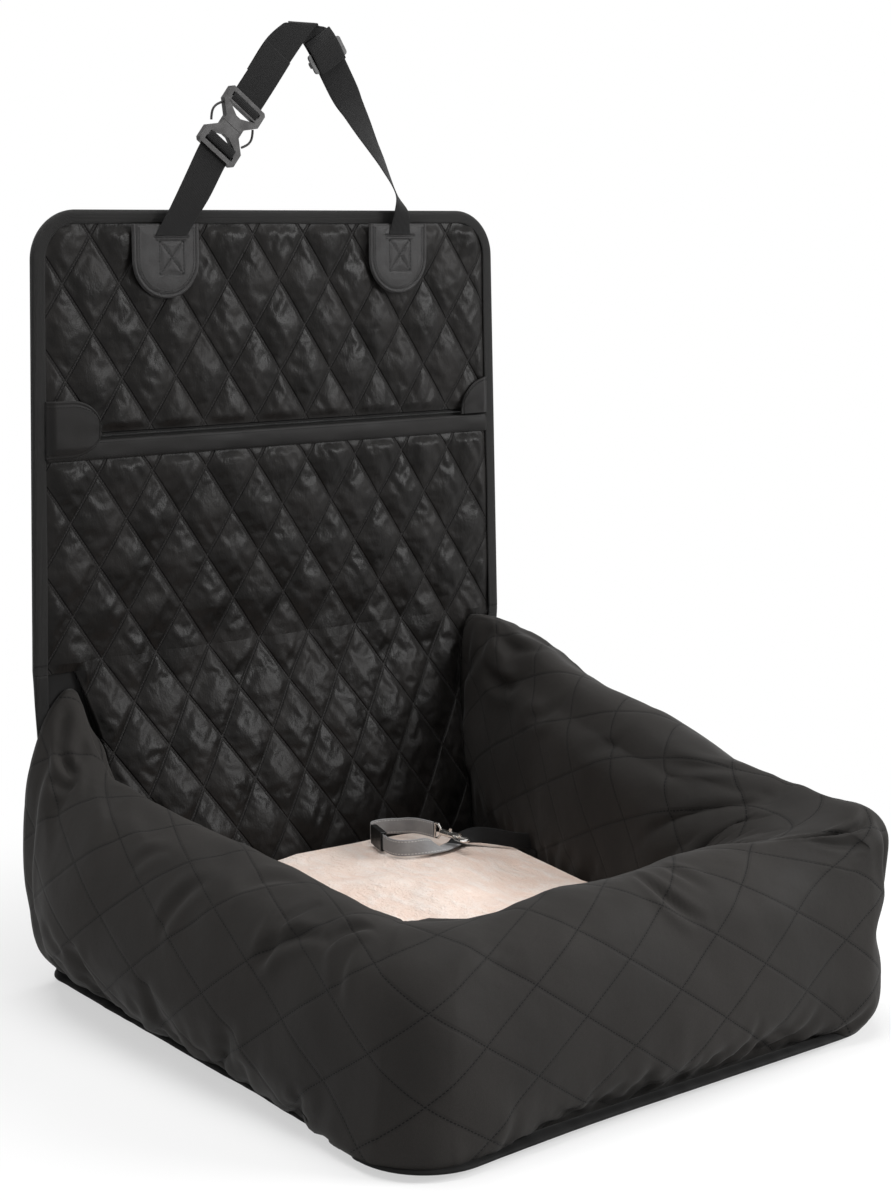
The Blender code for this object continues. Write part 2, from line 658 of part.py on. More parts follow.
def make_bolsters():
    stations = bolster_stations()
    cover = lofted("tub_cover", [bolster_ring(s, 0) for s in stations], "bolster_cloth")
    hollow = shortened([bolster_ring(s, COVER_WALL, OVERRUN) for s in stations], COVER_WALL)
    combine(cover, [lofted("cut_tub_cover", hollow)], "DIFFERENCE")
    smooth(cover)
    inset = COVER_WALL + STUFFING_GAP
    rings = shortened([bolster_ring(s, inset) for s in stations], inset)
    first = SIDE_STEPS + CORNER_STEPS // 2
    last = len(stations) - 1 - SIDE_STEPS - CORNER_STEPS // 2
    parts = {"fill_left": rings[:first + 1], "fill_front": rings[first:last + 1], "fill_right": rings[last:]}
    for name, part in parts.items():
        part = part.copy()
        if name != "fill_front":
            end, near = (-1, -2) if name == "fill_left" else (0, 1)
            back_off = part[near] - part[end]
            part[end] += TOUCH_GAP * back_off / np.linalg.norm(back_off, axis=1, keepdims=True)
        smooth(lofted(name, part, "filling"))


# Quilted layers


def leaned(x, z):
    """Where an x of the panel's top lies at a height: its sides lean out to the fold and in to the floor."""
    half = np.interp(z, (HEM_Z, FOLD_HEIGHT, PANEL_TOP), (HALF_BASE, HALF_FOLD, HALF_PANEL))
    return x * half / HALF_PANEL


def puff(i, j):
    """How far the padding stands out at a step of the diamond lattice, from 0 on a seam to 1."""
    p, q = (i + j) / STEPS_PER_PITCH, (i - j) / STEPS_PER_PITCH
    return (abs(math.sin(math.pi * p)) * abs(math.sin(math.pi * q))) ** 0.6


def quilted(name, columns, rows, front, back, finish):
    """A padded layer: a front grid of diamonds, a rim and a flat back.

    front(i, j, puff) and back(i, j) give its points."""
    verts, faces = [], []
    for j in range(rows + 1):
        for i in range(columns + 1):
            rim = i in (0, columns) or j in (0, rows)
            verts.append(front(i, j, 0.0 if rim else puff(i, j)))
    across = columns + 1
    for j in range(rows):
        for i in range(columns):
            a = j * across + i
            b, c, d = a + 1, a + 1 + across, a + across
            if (i + j + 1) % STEPS_PER_PITCH == 0:
                faces += [(a, b, d), (b, c, d)]
            else:
                faces += [(a, b, c), (a, c, d)]
    rim = [(i, 0) for i in range(columns)] + [(columns, j) for j in range(rows)]
    rim += [(i, rows) for i in range(columns, 0, -1)] + [(0, j) for j in range(rows, 0, -1)]
    start = len(verts)
    verts += [back(i, j) for i, j in rim]
    for k, (i, j) in enumerate(rim):
        n = (k + 1) % len(rim)
        next_i, next_j = rim[n]
        faces.append((j * across + i, next_j * across + next_i, start + n, start + k))
    faces.append(tuple(range(start, start + len(rim))))
    return mesh_object(name, mesh_from(name, verts, faces), finish)


def flat_quilt(name, x0, x1, z0, z1, back_depth, low_depth, finish):
    """A quilted layer between two heights on the panel, its depths counted from the seat's back plane."""
    columns = round((x1 - x0) / QUILT_PITCH_X * STEPS_PER_PITCH)
    rows = round((z1 - z0) / QUILT_PITCH_Z * STEPS_PER_PITCH)

    def at(i, j):
        return (x0 + (x1 - x0) * i / columns, z0 + (z1 - z0) * j / rows)

    def front(i, j, rise):
        x, z = at(i, j)
        return (leaned(x, z), BACK_Y - low_depth - rise * QUILT_PUFF, z)

    def back(i, j):
        x, z = at(i, j)
        return (leaned(x, z), BACK_Y - back_depth, z)

    return quilted(name, columns, rows, front, back, finish)


def panel_outline(inset, bottom):
    radius = PANEL_RADIUS - inset
    return rounded(-HALF_PANEL + inset, HALF_PANEL - inset, bottom, PANEL_TOP - inset, (0, 0, radius, radius))


def panel_plate(name, outline, back_depth, front_depth, finish=None, lean=True):
    """A plate of the panel between two depths in front of the seat's back plane."""
    middle = BACK_Y - (back_depth + front_depth) / 2
    if lean:
        outline = [(leaned(x, z), z) for x, z in outline]
    return plate(name, [outline], front_depth - back_depth, finish, upright(0, middle, 0))


def make_panel():
    edge = BINDING_WALL + TOUCH_GAP
    bottom = FOLD_HEIGHT + FOLD_RELIEF
    tongue_half = HALF_PANEL - BINDING_LEG
    tongue_front = LINER_BACK + (LINER_THICKNESS + TONGUE_THICKNESS) / 2
    tongue_back = LINER_BACK + (LINER_THICKNESS - TONGUE_THICKNESS) / 2
    liner = panel_plate("panel_liner", panel_outline(edge, bottom), LINER_BACK, LINER_FRONT, "base_cloth")
    tongue = box("join_liner_tongue", (-tongue_half, BACK_Y - tongue_front, FOLD_HEIGHT + TONGUE_GAP),
                 (tongue_half, BACK_Y - tongue_back, bottom + TONGUE_LENGTH))
    combine(liner, [tongue], "UNION")

    # the upper quilt: a thin border that the binding grips, and a field of diamonds
    seam = ZIP_Z + POCKET_SLIDER_HEIGHT / 2 + 2 * TOUCH_GAP
    field_bottom = seam + FOLD_RELIEF
    field_half = HALF_PANEL - BINDING_LEG - TOUCH_GAP
    field_top = PANEL_TOP - BINDING_LEG - TOUCH_GAP
    upper = panel_plate("upper_quilt", panel_outline(edge, seam), QUILT_BACK, QUILT_BACK + QUILT_EDGE,
                        "quilted_satin")
    field = flat_quilt("join_upper_field", -field_half, field_half, field_bottom, field_top,
                       QUILT_BACK + LINER_THICKNESS / 2, QUILT_BACK + QUILT_LOW, None)
    radius = PANEL_RADIUS - BINDING_LEG - TOUCH_GAP
    cut = TOUCH_GAP
    window = rounded(-field_half + cut, field_half - cut, field_bottom - OVERRUN, field_top - cut,
                     (0, 0, radius - cut, radius - cut))
    corner = panel_plate("trim_upper_field", window, -OVERRUN, QUILT_TOP_DEPTH + OVERRUN)
    combine(field, [corner], "INTERSECT")
    combine(upper, [field], "UNION")

    # the pocket's quilt lies in front of the liner, from the fold up to the pocket's binding
    strip = rounded(-HALF_PANEL + edge, HALF_PANEL - edge, bottom, POCKET_TOP - TOUCH_GAP, (0, 0, 0, 0))
    pocket = panel_plate("pocket_quilt", strip, POCKET_BACK, POCKET_EDGE_FRONT, "quilted_satin")
    field_top = POCKET_TOP - POCKET_BINDING_HEIGHT - TOUCH_GAP
    pocket_field = flat_quilt("join_pocket_field", -field_half, field_half, bottom, field_top,
                              POCKET_BACK + LINER_THICKNESS / 4, POCKET_EDGE_FRONT + LINER_THICKNESS / 2, None)
    combine(pocket, [pocket_field], "UNION")
    binding = rounded(-field_half, field_half, POCKET_TOP - POCKET_BINDING_HEIGHT, POCKET_TOP, (0, 0, 0, 0))
    front = POCKET_EDGE_FRONT + TOUCH_GAP
    panel_plate("pocket_binding", binding, front, front + POCKET_BINDING_THICKNESS, "binding_tape")
    moving = [liner, upper, pocket, bpy.data.objects["pocket_binding"]]
    moving += [make_edge_binding("panel_binding", None)] + make_pocket_zip() + make_tabs() + make_patches()
    hang(axis_empty("panel_fold_axis", (0, HINGE_Y, FOLD_HEIGHT)), moving)


def binding_ring(x, z, inward, deep):
    """The C section of the edge binding at a point of the panel's edge."""
    inner = deep - BINDING_WALL
    legs = ((0, 0), (BINDING_LEG, 0), (BINDING_LEG, BINDING_WALL), (BINDING_WALL, BINDING_WALL),
            (BINDING_WALL, inner), (BINDING_LEG, inner), (BINDING_LEG, deep), (0, deep))
    ring = []
    for across, depth in legs:
        height = z + across * inward[1]
        ring.append((leaned(x + across * inward[0], height), BACK_Y - depth, height))
    return ring


def make_edge_binding(name, side):
    """The binding up one side, over the top and down the other, or up one side of the rear wall."""
    if side is not None:
        x = side * HALF_PANEL
        ends = (HEM_Z, FOLD_HEIGHT - FOLD_RELIEF)
        rings = [binding_ring(x, z, (-side, 0), WALL_BINDING_DEPTH) for z in ends]
        return lofted(name, rings, "binding_tape")
    steps, rings = 7, []
    low, radius = FOLD_HEIGHT + FOLD_RELIEF, PANEL_RADIUS
    rings.append(binding_ring(-HALF_PANEL, low, (1, 0), BINDING_DEPTH))
    for centre, start in ((-HALF_PANEL + radius, math.pi), (HALF_PANEL - radius, math.pi / 2)):
        for angle in np.linspace(start, start - math.pi / 2, steps):
            way = (math.cos(angle), math.sin(angle))
            x, z = centre + radius * way[0], PANEL_TOP - radius + radius * way[1]
            rings.append(binding_ring(x, z, (-way[0], -way[1]), BINDING_DEPTH))
    rings.append(binding_ring(HALF_PANEL, low, (-1, 0), BINDING_DEPTH))
    return lofted(name, rings, "binding_tape")


def make_pocket_zip():
    """The pocket's tape and coil, parked slider and pull."""
    reach = HALF_PANEL - POCKET_ZIP_END
    tape_top = ZIP_Z + POCKET_SLIDER_HEIGHT / 2
    strip = rounded(-reach, reach, POCKET_TOP - ZIP_TAPE_WIDTH, tape_top, (0, 0, 0, 0))
    tape = panel_plate("pocket_zip_tape", strip, QUILT_BACK, QUILT_BACK + LINER_THICKNESS / 2, "binding_tape")
    coil_depth = QUILT_BACK + LINER_THICKNESS / 2 + TOUCH_GAP + POCKET_COIL_RADIUS
    run = reach - BINDING_LEG / 2
    ends = [(leaned(x, ZIP_Z), BACK_Y - coil_depth, ZIP_Z) for x in (-run, run)]
    coil = tube("pocket_zip_coil", ends, POCKET_COIL_RADIUS, "zip_nylon")
    x = POCKET_PARK - HALF_PANEL
    half, height = ZIP_SLIDER_LENGTH / 2, POCKET_SLIDER_HEIGHT / 2
    low = QUILT_BACK + LINER_THICKNESS / 2 + TOUCH_GAP
    slider = box("pocket_zip_slider", (x - half, BACK_Y - POCKET_SLIDER_FRONT, ZIP_Z - height),
                 (x + half, BACK_Y - low, ZIP_Z + height), "black_plastic")
    gap = POCKET_COIL_RADIUS + TOUCH_GAP
    groove = box("cut_pocket_slider", (x - half - OVERRUN, BACK_Y - coil_depth - gap, ZIP_Z - gap),
                 (x + half + OVERRUN, BACK_Y - low + OVERRUN, ZIP_Z + gap))
    combine(slider, [groove], "DIFFERENCE")
    pull_back = POCKET_SLIDER_FRONT + TOUCH_GAP
    pull_front = pull_back + ZIP_PULL_THICKNESS
    pull = box("pocket_zip_pull", (x - ZIP_PULL_WIDTH / 2, BACK_Y - pull_front, ZIP_Z - ZIP_PULL_LENGTH),
               (x + ZIP_PULL_WIDTH / 2, BACK_Y - pull_back, ZIP_Z), "black_plastic")
    hang(axis_empty("pocket_slider_axis", (x, BACK_Y - coil_depth, ZIP_Z)), [slider])
    hang(axis_empty("pocket_pull_axis", (x, BACK_Y - pull_back - ZIP_PULL_THICKNESS / 2, ZIP_Z)), [pull])
    return [tape, coil]


def make_tabs():
    """The cloth tabs over the ends of the pocket's zip: arched sheets, open towards the zip's middle."""
    front = POCKET_EDGE_FRONT + TOUCH_GAP + POCKET_BINDING_THICKNESS + TOUCH_GAP
    clear = POCKET_SLIDER_FRONT + 3 * TOUCH_GAP + ZIP_PULL_THICKNESS
    over = QUILT_TOP_DEPTH + 2 * TOUCH_GAP
    foot = POCKET_TOP - POCKET_BINDING_HEIGHT
    made = []
    tabs = (("zip_tab_left", -1, TAB_LEFT_WIDTH, 0.35), ("zip_tab_right", 1, TAB_RIGHT_WIDTH, 1.0))
    for name, side, width, slant in tabs:
        outer = HALF_PANEL - BINDING_LEG - TOUCH_GAP
        rings = []
        for share in (0.0, 0.5, 0.75, 0.92, 1.0):
            x = side * (outer - share * width)
            top = TAB_TOP - slant * (TAB_TOP - ZIP_Z) * max(0.0, share - 0.5) ** 2 * 2
            knee = foot + BINDING_WALL * 3
            line = [(foot, front), (knee, clear + TAB_THICKNESS), (foot + BINDING_LEG, over), (top, over)]
            ring = [(leaned(x, z), BACK_Y - depth, z) for z, depth in line]
            ring += [(leaned(x, z), BACK_Y - depth - TAB_THICKNESS, z) for z, depth in reversed(line)]
            rings.append(ring)
        made.append(lofted(name, rings, "bolster_cloth"))
    return made


def make_patches():
    """The leatherette patches that the headrest strap is sewn to: flat at the top, round below."""
    top = PANEL_TOP - BINDING_LEG - TOUCH_GAP
    made = []
    half = PATCH_WIDTH / 2
    for name, x in (("anchor_patch_left", PATCH_LEFT_X), ("anchor_patch_right", PATCH_RIGHT_X)):
        outline = rounded(x - half, x + half, top - PATCH_HEIGHT, top, (half, half, 0, 0), steps=10)
        deep = BACK_Y - PATCH_BACK_Y
        made.append(panel_plate(name, outline, deep, deep + PATCH_THICKNESS, "leatherette", lean=False))
    return made


# Rear wall and back roll


def roll_front(i, j, rise, inset=0.0):
    """A point of the roll's front: its thickness and width follow the height, and the padding stands out."""
    share = j / ROLL_ROWS
    low, high = HEM_Z, FOLD_HEIGHT - FOLD_RELIEF
    z = low + share * (high - low)
    depth = np.interp(share, ROLL_SHARES[:, 0], ROLL_SHARES[:, 1]) * ROLL_DEPTH
    half = np.interp(share, ROLL_SHARES[:, 0], ROLL_SHARES[:, 2]) * ROLL_HALF_WIDTH
    across = 2 * i / ROLL_COLUMNS - 1
    sag = 1 - 0.22 * abs(across) ** 4
    y = WALL_FRONT_Y - TOUCH_GAP - depth * sag - rise * QUILT_PUFF + inset
    return ((half - inset) * across, y, z - inset * (share == 1))


def roll_back(i, j):
    """The point of the roll's flat back behind a point of its front."""
    x, y, z = roll_front(i, j, 0)
    return (x, WALL_FRONT_Y - TOUCH_GAP, z)


def make_rear_wall():
    edge = BINDING_WALL + TOUCH_GAP
    top = FOLD_HEIGHT - FOLD_RELIEF
    wall = panel_plate("rear_wall", rounded(-HALF_PANEL + edge, HALF_PANEL - edge, HEM_Z, top, (0, 0, 0, 0)),
                       LINER_BACK, LINER_FRONT, "base_cloth")
    tongue_half = HALF_PANEL - BINDING_LEG
    tongue_front = LINER_BACK + (LINER_THICKNESS + TONGUE_THICKNESS) / 2
    tongue_back = LINER_BACK + (LINER_THICKNESS - TONGUE_THICKNESS) / 2
    tongue = box("join_wall_tongue", (-tongue_half, BACK_Y - tongue_front, top - TONGUE_LENGTH),
                 (tongue_half, BACK_Y - tongue_back, FOLD_HEIGHT))
    pad_half = HALF_BASE - BINDING_LEG - TOUCH_GAP
    pad_front = BACK_Y - LINER_BACK - LINER_THICKNESS / 2
    pad = box("join_wall_pad", (-pad_half, pad_front, HEM_Z), (pad_half, BACK_Y, top))
    combine(wall, [tongue, pad], "UNION")
    for name, side in (("wall_binding_left", -1), ("wall_binding_right", 1)):
        make_edge_binding(name, side)

    cover = quilted("back_roll_cover", ROLL_COLUMNS, ROLL_ROWS, roll_front, roll_back, "quilted_satin")
    inner = (("cut_back_roll", ROLL_WALL, None), ("fill_back", ROLL_WALL + TOUCH_GAP, "filling"))
    for name, inset, finish in inner:
        rings = []
        for j in range(0, ROLL_ROWS - 2):
            drop = OVERRUN if j == 0 and finish is None else 0
            ring = []
            for i in range(0, ROLL_COLUMNS + 1, 4):
                x, y, z = roll_front(i, j, 0, inset)
                ring.append((x, y, z - drop))
            x_end = ring[-1][0]
            rear = WALL_FRONT_Y - TOUCH_GAP - inset / 2
            ring += [(x_end, rear, ring[-1][2]), (-x_end, rear, ring[0][2])]
            rings.append(ring)
        made = lofted(name, rings, finish)
        if finish is None:
            combine(cover, [made], "DIFFERENCE")


# Cushion


def well_half_width(y):
    """Half the well's width at a place along the seat, at the height where the bolster is thickest."""
    stations = [s for s in bolster_stations() if s[2] == (1, 0)]
    ys = [s[1][1] for s in stations]
    xs = [s[1][0] for s in stations]
    order = np.argsort(ys)
    return float(np.interp(y, np.array(ys)[order], np.array(xs)[order]))


def cushion_outline(inset):
    """The cushion's outline: it follows the well, with round corners, drawn in by an inset."""
    gap = CUSHION_GAP + inset
    front = FRONT_Y + BOLSTER_FRONT_THICKNESS + gap
    back = WALL_FRONT_Y - ROLL_DEPTH - QUILT_PUFF - CUSHION_BACK_GAP - inset
    radius = WELL_CORNER_RADIUS
    points = []
    for k in range(CUSHION_POINTS):
        turn = 2 * math.pi * (k + 0.5) / CUSHION_POINTS
        c, s = math.cos(turn), math.sin(turn)
        # a superellipse gives the corners, and the well's width gives the sides
        cx = math.copysign(abs(c) ** 0.34, c)
        sy = math.copysign(abs(s) ** 0.34, s)
        y = (front + back) / 2 + sy * (back - front) / 2
        half = well_half_width(y) - gap
        points.append((cx * half, y))
    return np.array(points)


def cushion_top(x, y):
    """The height of the cushion's top: a crown with soft waves, highest towards the back right."""
    u, v = x / HALF_BASE, y / BACK_Y
    crown = max(0.0, 1 - (1.35 * u) ** 2 - (1.05 * (v - 0.12)) ** 4)
    wave = math.sin(9.0 * u + 2.0) * math.cos(7.0 * v) + 0.8 * math.sin(6.0 * v - 4.0 * u)
    return CUSHION_EDGE_HEIGHT + CUSHION_CROWN * crown + CUSHION_RIPPLE * wave * crown


def cushion_rings(inset, bottom):
    """Rings of a cushion from its flat bottom up its drawn-in side and over its crown."""
    rings = []
    side = ((CUSHION_ROUNDING * 0.7, bottom), (0.0, bottom + CUSHION_ROUNDING),
            (0.0, CUSHION_EDGE_HEIGHT * 0.55), (CUSHION_ROUNDING * 0.2, CUSHION_EDGE_HEIGHT * 0.85))
    for draw, z in side:
        rings.append([(x, y, z) for x, y in cushion_outline(inset + draw)])
    rim = cushion_outline(inset + CUSHION_ROUNDING * 0.8)
    middle = rim.mean(axis=0)
    for ring in range(CUSHION_RINGS):
        share = 1 - (ring / CUSHION_RINGS) ** 1.2
        points = middle + (rim - middle) * share
        rings.append([(x, y, cushion_top(x, y) - inset) for x, y in points])
    return rings


def cushion_peak(inset):
    """The middle of the cushion's crown, drawn in by an inset."""
    x, y = cushion_outline(0).mean(axis=0)
    return (x, y, cushion_top(x, y) - inset)


def make_cushion():
    top_of_sheet = FLOOR_Z + UNDERSIDE_THICKNESS + TOUCH_GAP
    outline = cushion_outline(CUSHION_ROUNDING * 0.7)
    underside = plate("cushion_underside", [outline], UNDERSIDE_THICKNESS, "base_cloth",
                      Matrix.Translation((0, 0, FLOOR_Z + UNDERSIDE_THICKNESS / 2)))
    cover = lofted("cushion_cover", cushion_rings(0, top_of_sheet), "plush", cushion_peak(0))
    smooth(cover, math.radians(60))
    hollow = cushion_rings(CUSHION_WALL, top_of_sheet)
    hollow[0] = [(x, y, z - OVERRUN) for x, y, z in hollow[0]]
    cutter = lofted("cut_cushion_cover", hollow, None, cushion_peak(CUSHION_WALL))
    combine(cover, [cutter], "DIFFERENCE")
    inset = CUSHION_WALL + TOUCH_GAP
    foam = lofted("cushion_foam", cushion_rings(inset, top_of_sheet), "foam", cushion_peak(inset))
    smooth(foam, math.radians(60))
    return [cover, underside, foam]


# Headrest strap and its buckle


def leg_point(distance):
    """A point on the left leg, at a distance down from the height of the strap's top."""
    return (LEG_TOP_X - distance * math.cos(LEG_ANGLE), STRAP_TOP - distance * math.sin(LEG_ANGLE))


def right_leg_point(distance):
    top = STRAP_TOP - RIGHT_LEG_TOP_DROP
    return (RIGHT_LEG_TOP_X + distance * math.cos(RIGHT_LEG_ANGLE), top - distance * math.sin(RIGHT_LEG_ANGLE))


def twisted(turn, half):
    """The half width and the normal of the right leg's webbing, twisted about the leg."""
    across = Vector((math.sin(RIGHT_LEG_ANGLE), 0, math.cos(RIGHT_LEG_ANGLE)))
    back = Vector((0, 1, 0))
    side = (across * math.cos(turn) + back * math.sin(turn)) * half
    return side, back * math.cos(turn) - across * math.sin(turn)


def leg_side(angle):
    """Half the webbing's width across a leg that rises at an angle."""
    return (WEBBING_WIDTH / 2 * math.sin(angle), 0, -WEBBING_WIDTH / 2 * math.cos(angle))


def make_straps():
    half = WEBBING_WIDTH / 2
    out = (0, -1, 0)
    side = leg_side(LEG_ANGLE)

    # the short strap from the left patch to the buckle's lower bar
    end_x, end_z = leg_point(BUCKLE_FROM_APEX + BUCKLE_LENGTH - BUCKLE_BAR - BUCKLE_SLOT / 2)
    foot = (STRAP_FOOT_LEFT, STRAP_Y, STRAP_FOOT_HEIGHT)
    lower_x, lower_z = leg_point(BUCKLE_FROM_APEX + BUCKLE_LENGTH + BUCKLE_BAR)
    middle = ((foot[0] * 2 + lower_x) / 3, STRAP_Y, (foot[2] * 2 + lower_z) / 3)
    leaning = Vector((half, 0, 0)).lerp(Vector(side), 0.6)
    strap_left = ribbon("strap_left", [
        (foot, (half, 0, 0), out), (middle, leaning, out), ((lower_x, STRAP_Y, lower_z), side, out),
        ((end_x, STRAP_Y, end_z), side, out)], WEBBING_THICKNESS, "webbing")

    # the long strap: the left leg's back layer, bent over at the top, and twisting down to the right patch
    rise = WEBBING_THICKNESS
    start = PLUG_TRAVEL + BUCKLE_BAR + RUNNING_GAP
    begin_x, begin_z = leg_point(BUCKLE_FROM_APEX - start)
    bend_x, bend_z = leg_point(LEG_BEND)
    fold_y = LAYER_Y + FOLD_RADIUS
    drop = FOLD_RADIUS
    stations = [((begin_x, LAYER_Y, begin_z), side, out), ((bend_x, LAYER_Y, bend_z), side, out)]
    level = Vector((half, 0, 0))
    near = level.lerp(Vector(side), 0.35)
    before = ((bend_x + 2 * STRAP_FOLD_X) / 3, LAYER_Y + rise / 2, STRAP_TOP - drop * 1.6)
    stations.append((before, near, (0, -1, 0.2)))
    for angle in (-50, 0, 50):
        turn = math.radians(angle)
        shift = FOLD_RADIUS * math.sin(turn)
        centre = (STRAP_FOLD_X + shift, fold_y + shift, STRAP_TOP - drop * (1 - math.cos(turn)))
        stations.append((centre, level, (0, math.sin(turn), math.cos(turn))))
    length = RIGHT_LEG_LENGTH
    for share, degrees, width in RIGHT_TWIST_SHARES:
        x, z = right_leg_point(share * length)
        side, normal = twisted(math.radians(degrees), half * width)
        forward = max(0.0, share - RIGHT_TWIST_SHARES[1, 0]) * 2 * FOLD_RADIUS
        stations.append(((x, STRAP_BACK_Y - forward, z), side, normal))
    waist_z = PANEL_TOP + half
    side, normal = twisted(math.radians(47), half * 0.7)
    foot = STRAP_FOOT_RIGHT
    waist = (foot - rise * 3, STRAP_BACK_Y - 2 * FOLD_RADIUS, waist_z)
    stations.append((waist, (side.x, side.y, 0), normal))
    edge_z = PANEL_TOP - BINDING_WALL
    stations.append(((foot, STRAP_Y - rise * 2, edge_z), (half * 0.55, rise, 0), (-0.1, 1, 0)))
    stations.append(((foot, STRAP_Y, STRAP_FOOT_HEIGHT + half / 3), (half * 0.72, 0, 0), (0, 1, 0)))
    stations.append(((foot, STRAP_Y, STRAP_FOOT_HEIGHT), (half * 0.8, 0, 0), (0, 1, 0)))
    strap_long = ribbon("strap_long", stations, WEBBING_THICKNESS, "webbing")

    # the free end that runs from the plug's bar, in front of the long strap
    top_x, top_z = leg_point(BUCKLE_FROM_APEX - PLUG_STRAP_LENGTH)
    bar_x, bar_z = leg_point(BUCKLE_FROM_APEX + BUCKLE_BAR + BUCKLE_SLOT / 2)
    side = leg_side(LEG_ANGLE)
    plug_webbing = ribbon("plug_webbing", [
        ((bar_x, STRAP_Y, bar_z), side, out), ((top_x, STRAP_Y, top_z), side, out)],
        WEBBING_THICKNESS, "webbing")
    socket, plug, arms = make_buckle()
    glide = make_glide()
    hang(axis_empty("strap_swing_axis", (0, STRAP_Y, STRAP_FOOT_HEIGHT)), [strap_left, strap_long, socket])
    plug_at = leg_point(BUCKLE_FROM_APEX + BUCKLE_LENGTH / 2)
    hang(axis_empty("plug_axis", (plug_at[0], STRAP_Y, plug_at[1])), [plug, plug_webbing])
    for arm, name in zip(arms, ("press_left_axis", "press_right_axis")):
        root = arm["root"]
        hang(axis_empty(name, root), [arm])
    glide_at = right_leg_point(GLIDE_FROM_TOP)
    hang(axis_empty("glide_axis", (glide_at[0], STRAP_BACK_Y, glide_at[1])), [glide])


def half_buckle(name, place, length, sign):
    """One half of the buckle in its own plane, from its waist (Y 0) out to its strap bars.

    sign is 1 where the bars lie towards +Y. The frame has a strap slot at its end and a window between
    its rails."""
    wide, waist = BUCKLE_WIDTH / 2, BUCKLE_WAIST
    shoulder = length - 2 * BUCKLE_BAR - BUCKLE_SLOT
    chamfer = BUCKLE_BAR / 2
    outline = [(-waist, 0), (waist, 0), (waist, length * 0.14), (wide, shoulder * 0.86),
               (wide, length - chamfer), (wide - chamfer, length), (-wide + chamfer, length),
               (-wide, length - chamfer), (-wide, shoulder * 0.86), (-waist, length * 0.14)]
    slot_half = WEBBING_WIDTH / 2 + 2 * RUNNING_GAP
    slot_top = length - BUCKLE_BAR
    slot = rounded(-slot_half, slot_half, slot_top - BUCKLE_SLOT, slot_top, (0, 0, 0, 0))
    top = shoulder - RUNNING_GAP
    window = [(-BUCKLE_RAIL / 2, BUCKLE_THROAT), (BUCKLE_RAIL / 2, BUCKLE_THROAT),
              (wide - BUCKLE_RAIL, top), (-wide + BUCKLE_RAIL, top)]
    loops = [np.array(o) * (1, sign) for o in (outline, slot, window)]
    if sign < 0:
        loops = [loop[::-1] for loop in loops]
    return plate(name, loops, BUCKLE_THICKNESS, "buckle_plastic", place)


def strap_channel(name, start, end, place):
    """A cutter along the leg that leaves the webbing room through the buckle's bars."""
    thick = WEBBING_THICKNESS / 2 + RUNNING_GAP
    half = WEBBING_WIDTH / 2 + RUNNING_GAP
    return box(name, (-half, start, -thick), (half, end, thick), None, place)


def make_buckle():
    """The socket below, the plug above with its tongue, and the plug's two press arms."""
    centre = leg_point(BUCKLE_FROM_APEX + BUCKLE_LENGTH / 2)
    place = leg_frame(centre[0], centre[1], STRAP_Y, LEG_ANGLE)
    half_length = BUCKLE_LENGTH / 2
    lowered = place @ Matrix.Translation((0, -RUNNING_GAP, 0))
    socket = half_buckle("buckle_socket", lowered, half_length - RUNNING_GAP, -1)
    pocket_half = TONGUE_WIDTH / 2 + RUNNING_GAP
    pocket_tall = TONGUE_HEIGHT / 2 + RUNNING_GAP
    pocket = box("cut_socket_pocket", (-pocket_half, -TONGUE_REACH - 2 * RUNNING_GAP, -pocket_tall),
                 (pocket_half, OVERRUN, pocket_tall), None, place)
    lower = strap_channel("cut_socket_channel", -half_length - OVERRUN,
                          -half_length + BUCKLE_BAR + BUCKLE_SLOT / 2, place)
    upper = strap_channel("cut_plug_channel", half_length - BUCKLE_BAR - BUCKLE_SLOT / 2,
                          half_length + OVERRUN, place)
    combine(socket, [pocket, lower], "DIFFERENCE")
    plug = half_buckle("buckle_plug", place, half_length, 1)
    tongue = box("join_plug_tongue", (-TONGUE_WIDTH / 2, -TONGUE_REACH, -TONGUE_HEIGHT / 2),
                 (TONGUE_WIDTH / 2, BUCKLE_THROAT / 2, TONGUE_HEIGHT / 2), None, place)
    combine(plug, [tongue], "UNION")
    combine(plug, [upper], "DIFFERENCE")
    arms = []
    for name, side in (("press_arm_left", -1), ("press_arm_right", 1)):
        wide = BUCKLE_WIDTH / 2
        root_y, tip_y = half_length * 0.40, -half_length * 0.26
        points = []
        for share in np.linspace(0, 1, 9):
            lean = math.sin(math.pi * share) * PRESS_ARM_BULGE
            x = wide * 0.80 + 2 * PRESS_ARM_RADIUS + lean
            points.append((side * x, root_y + share * (tip_y - root_y), 0))
        arm = tube(name, points, PRESS_ARM_RADIUS, "buckle_plastic", place=place)
        arm["root"] = list((place @ Vector(points[0]))[:])
        arms.append(arm)
    return socket, plug, arms


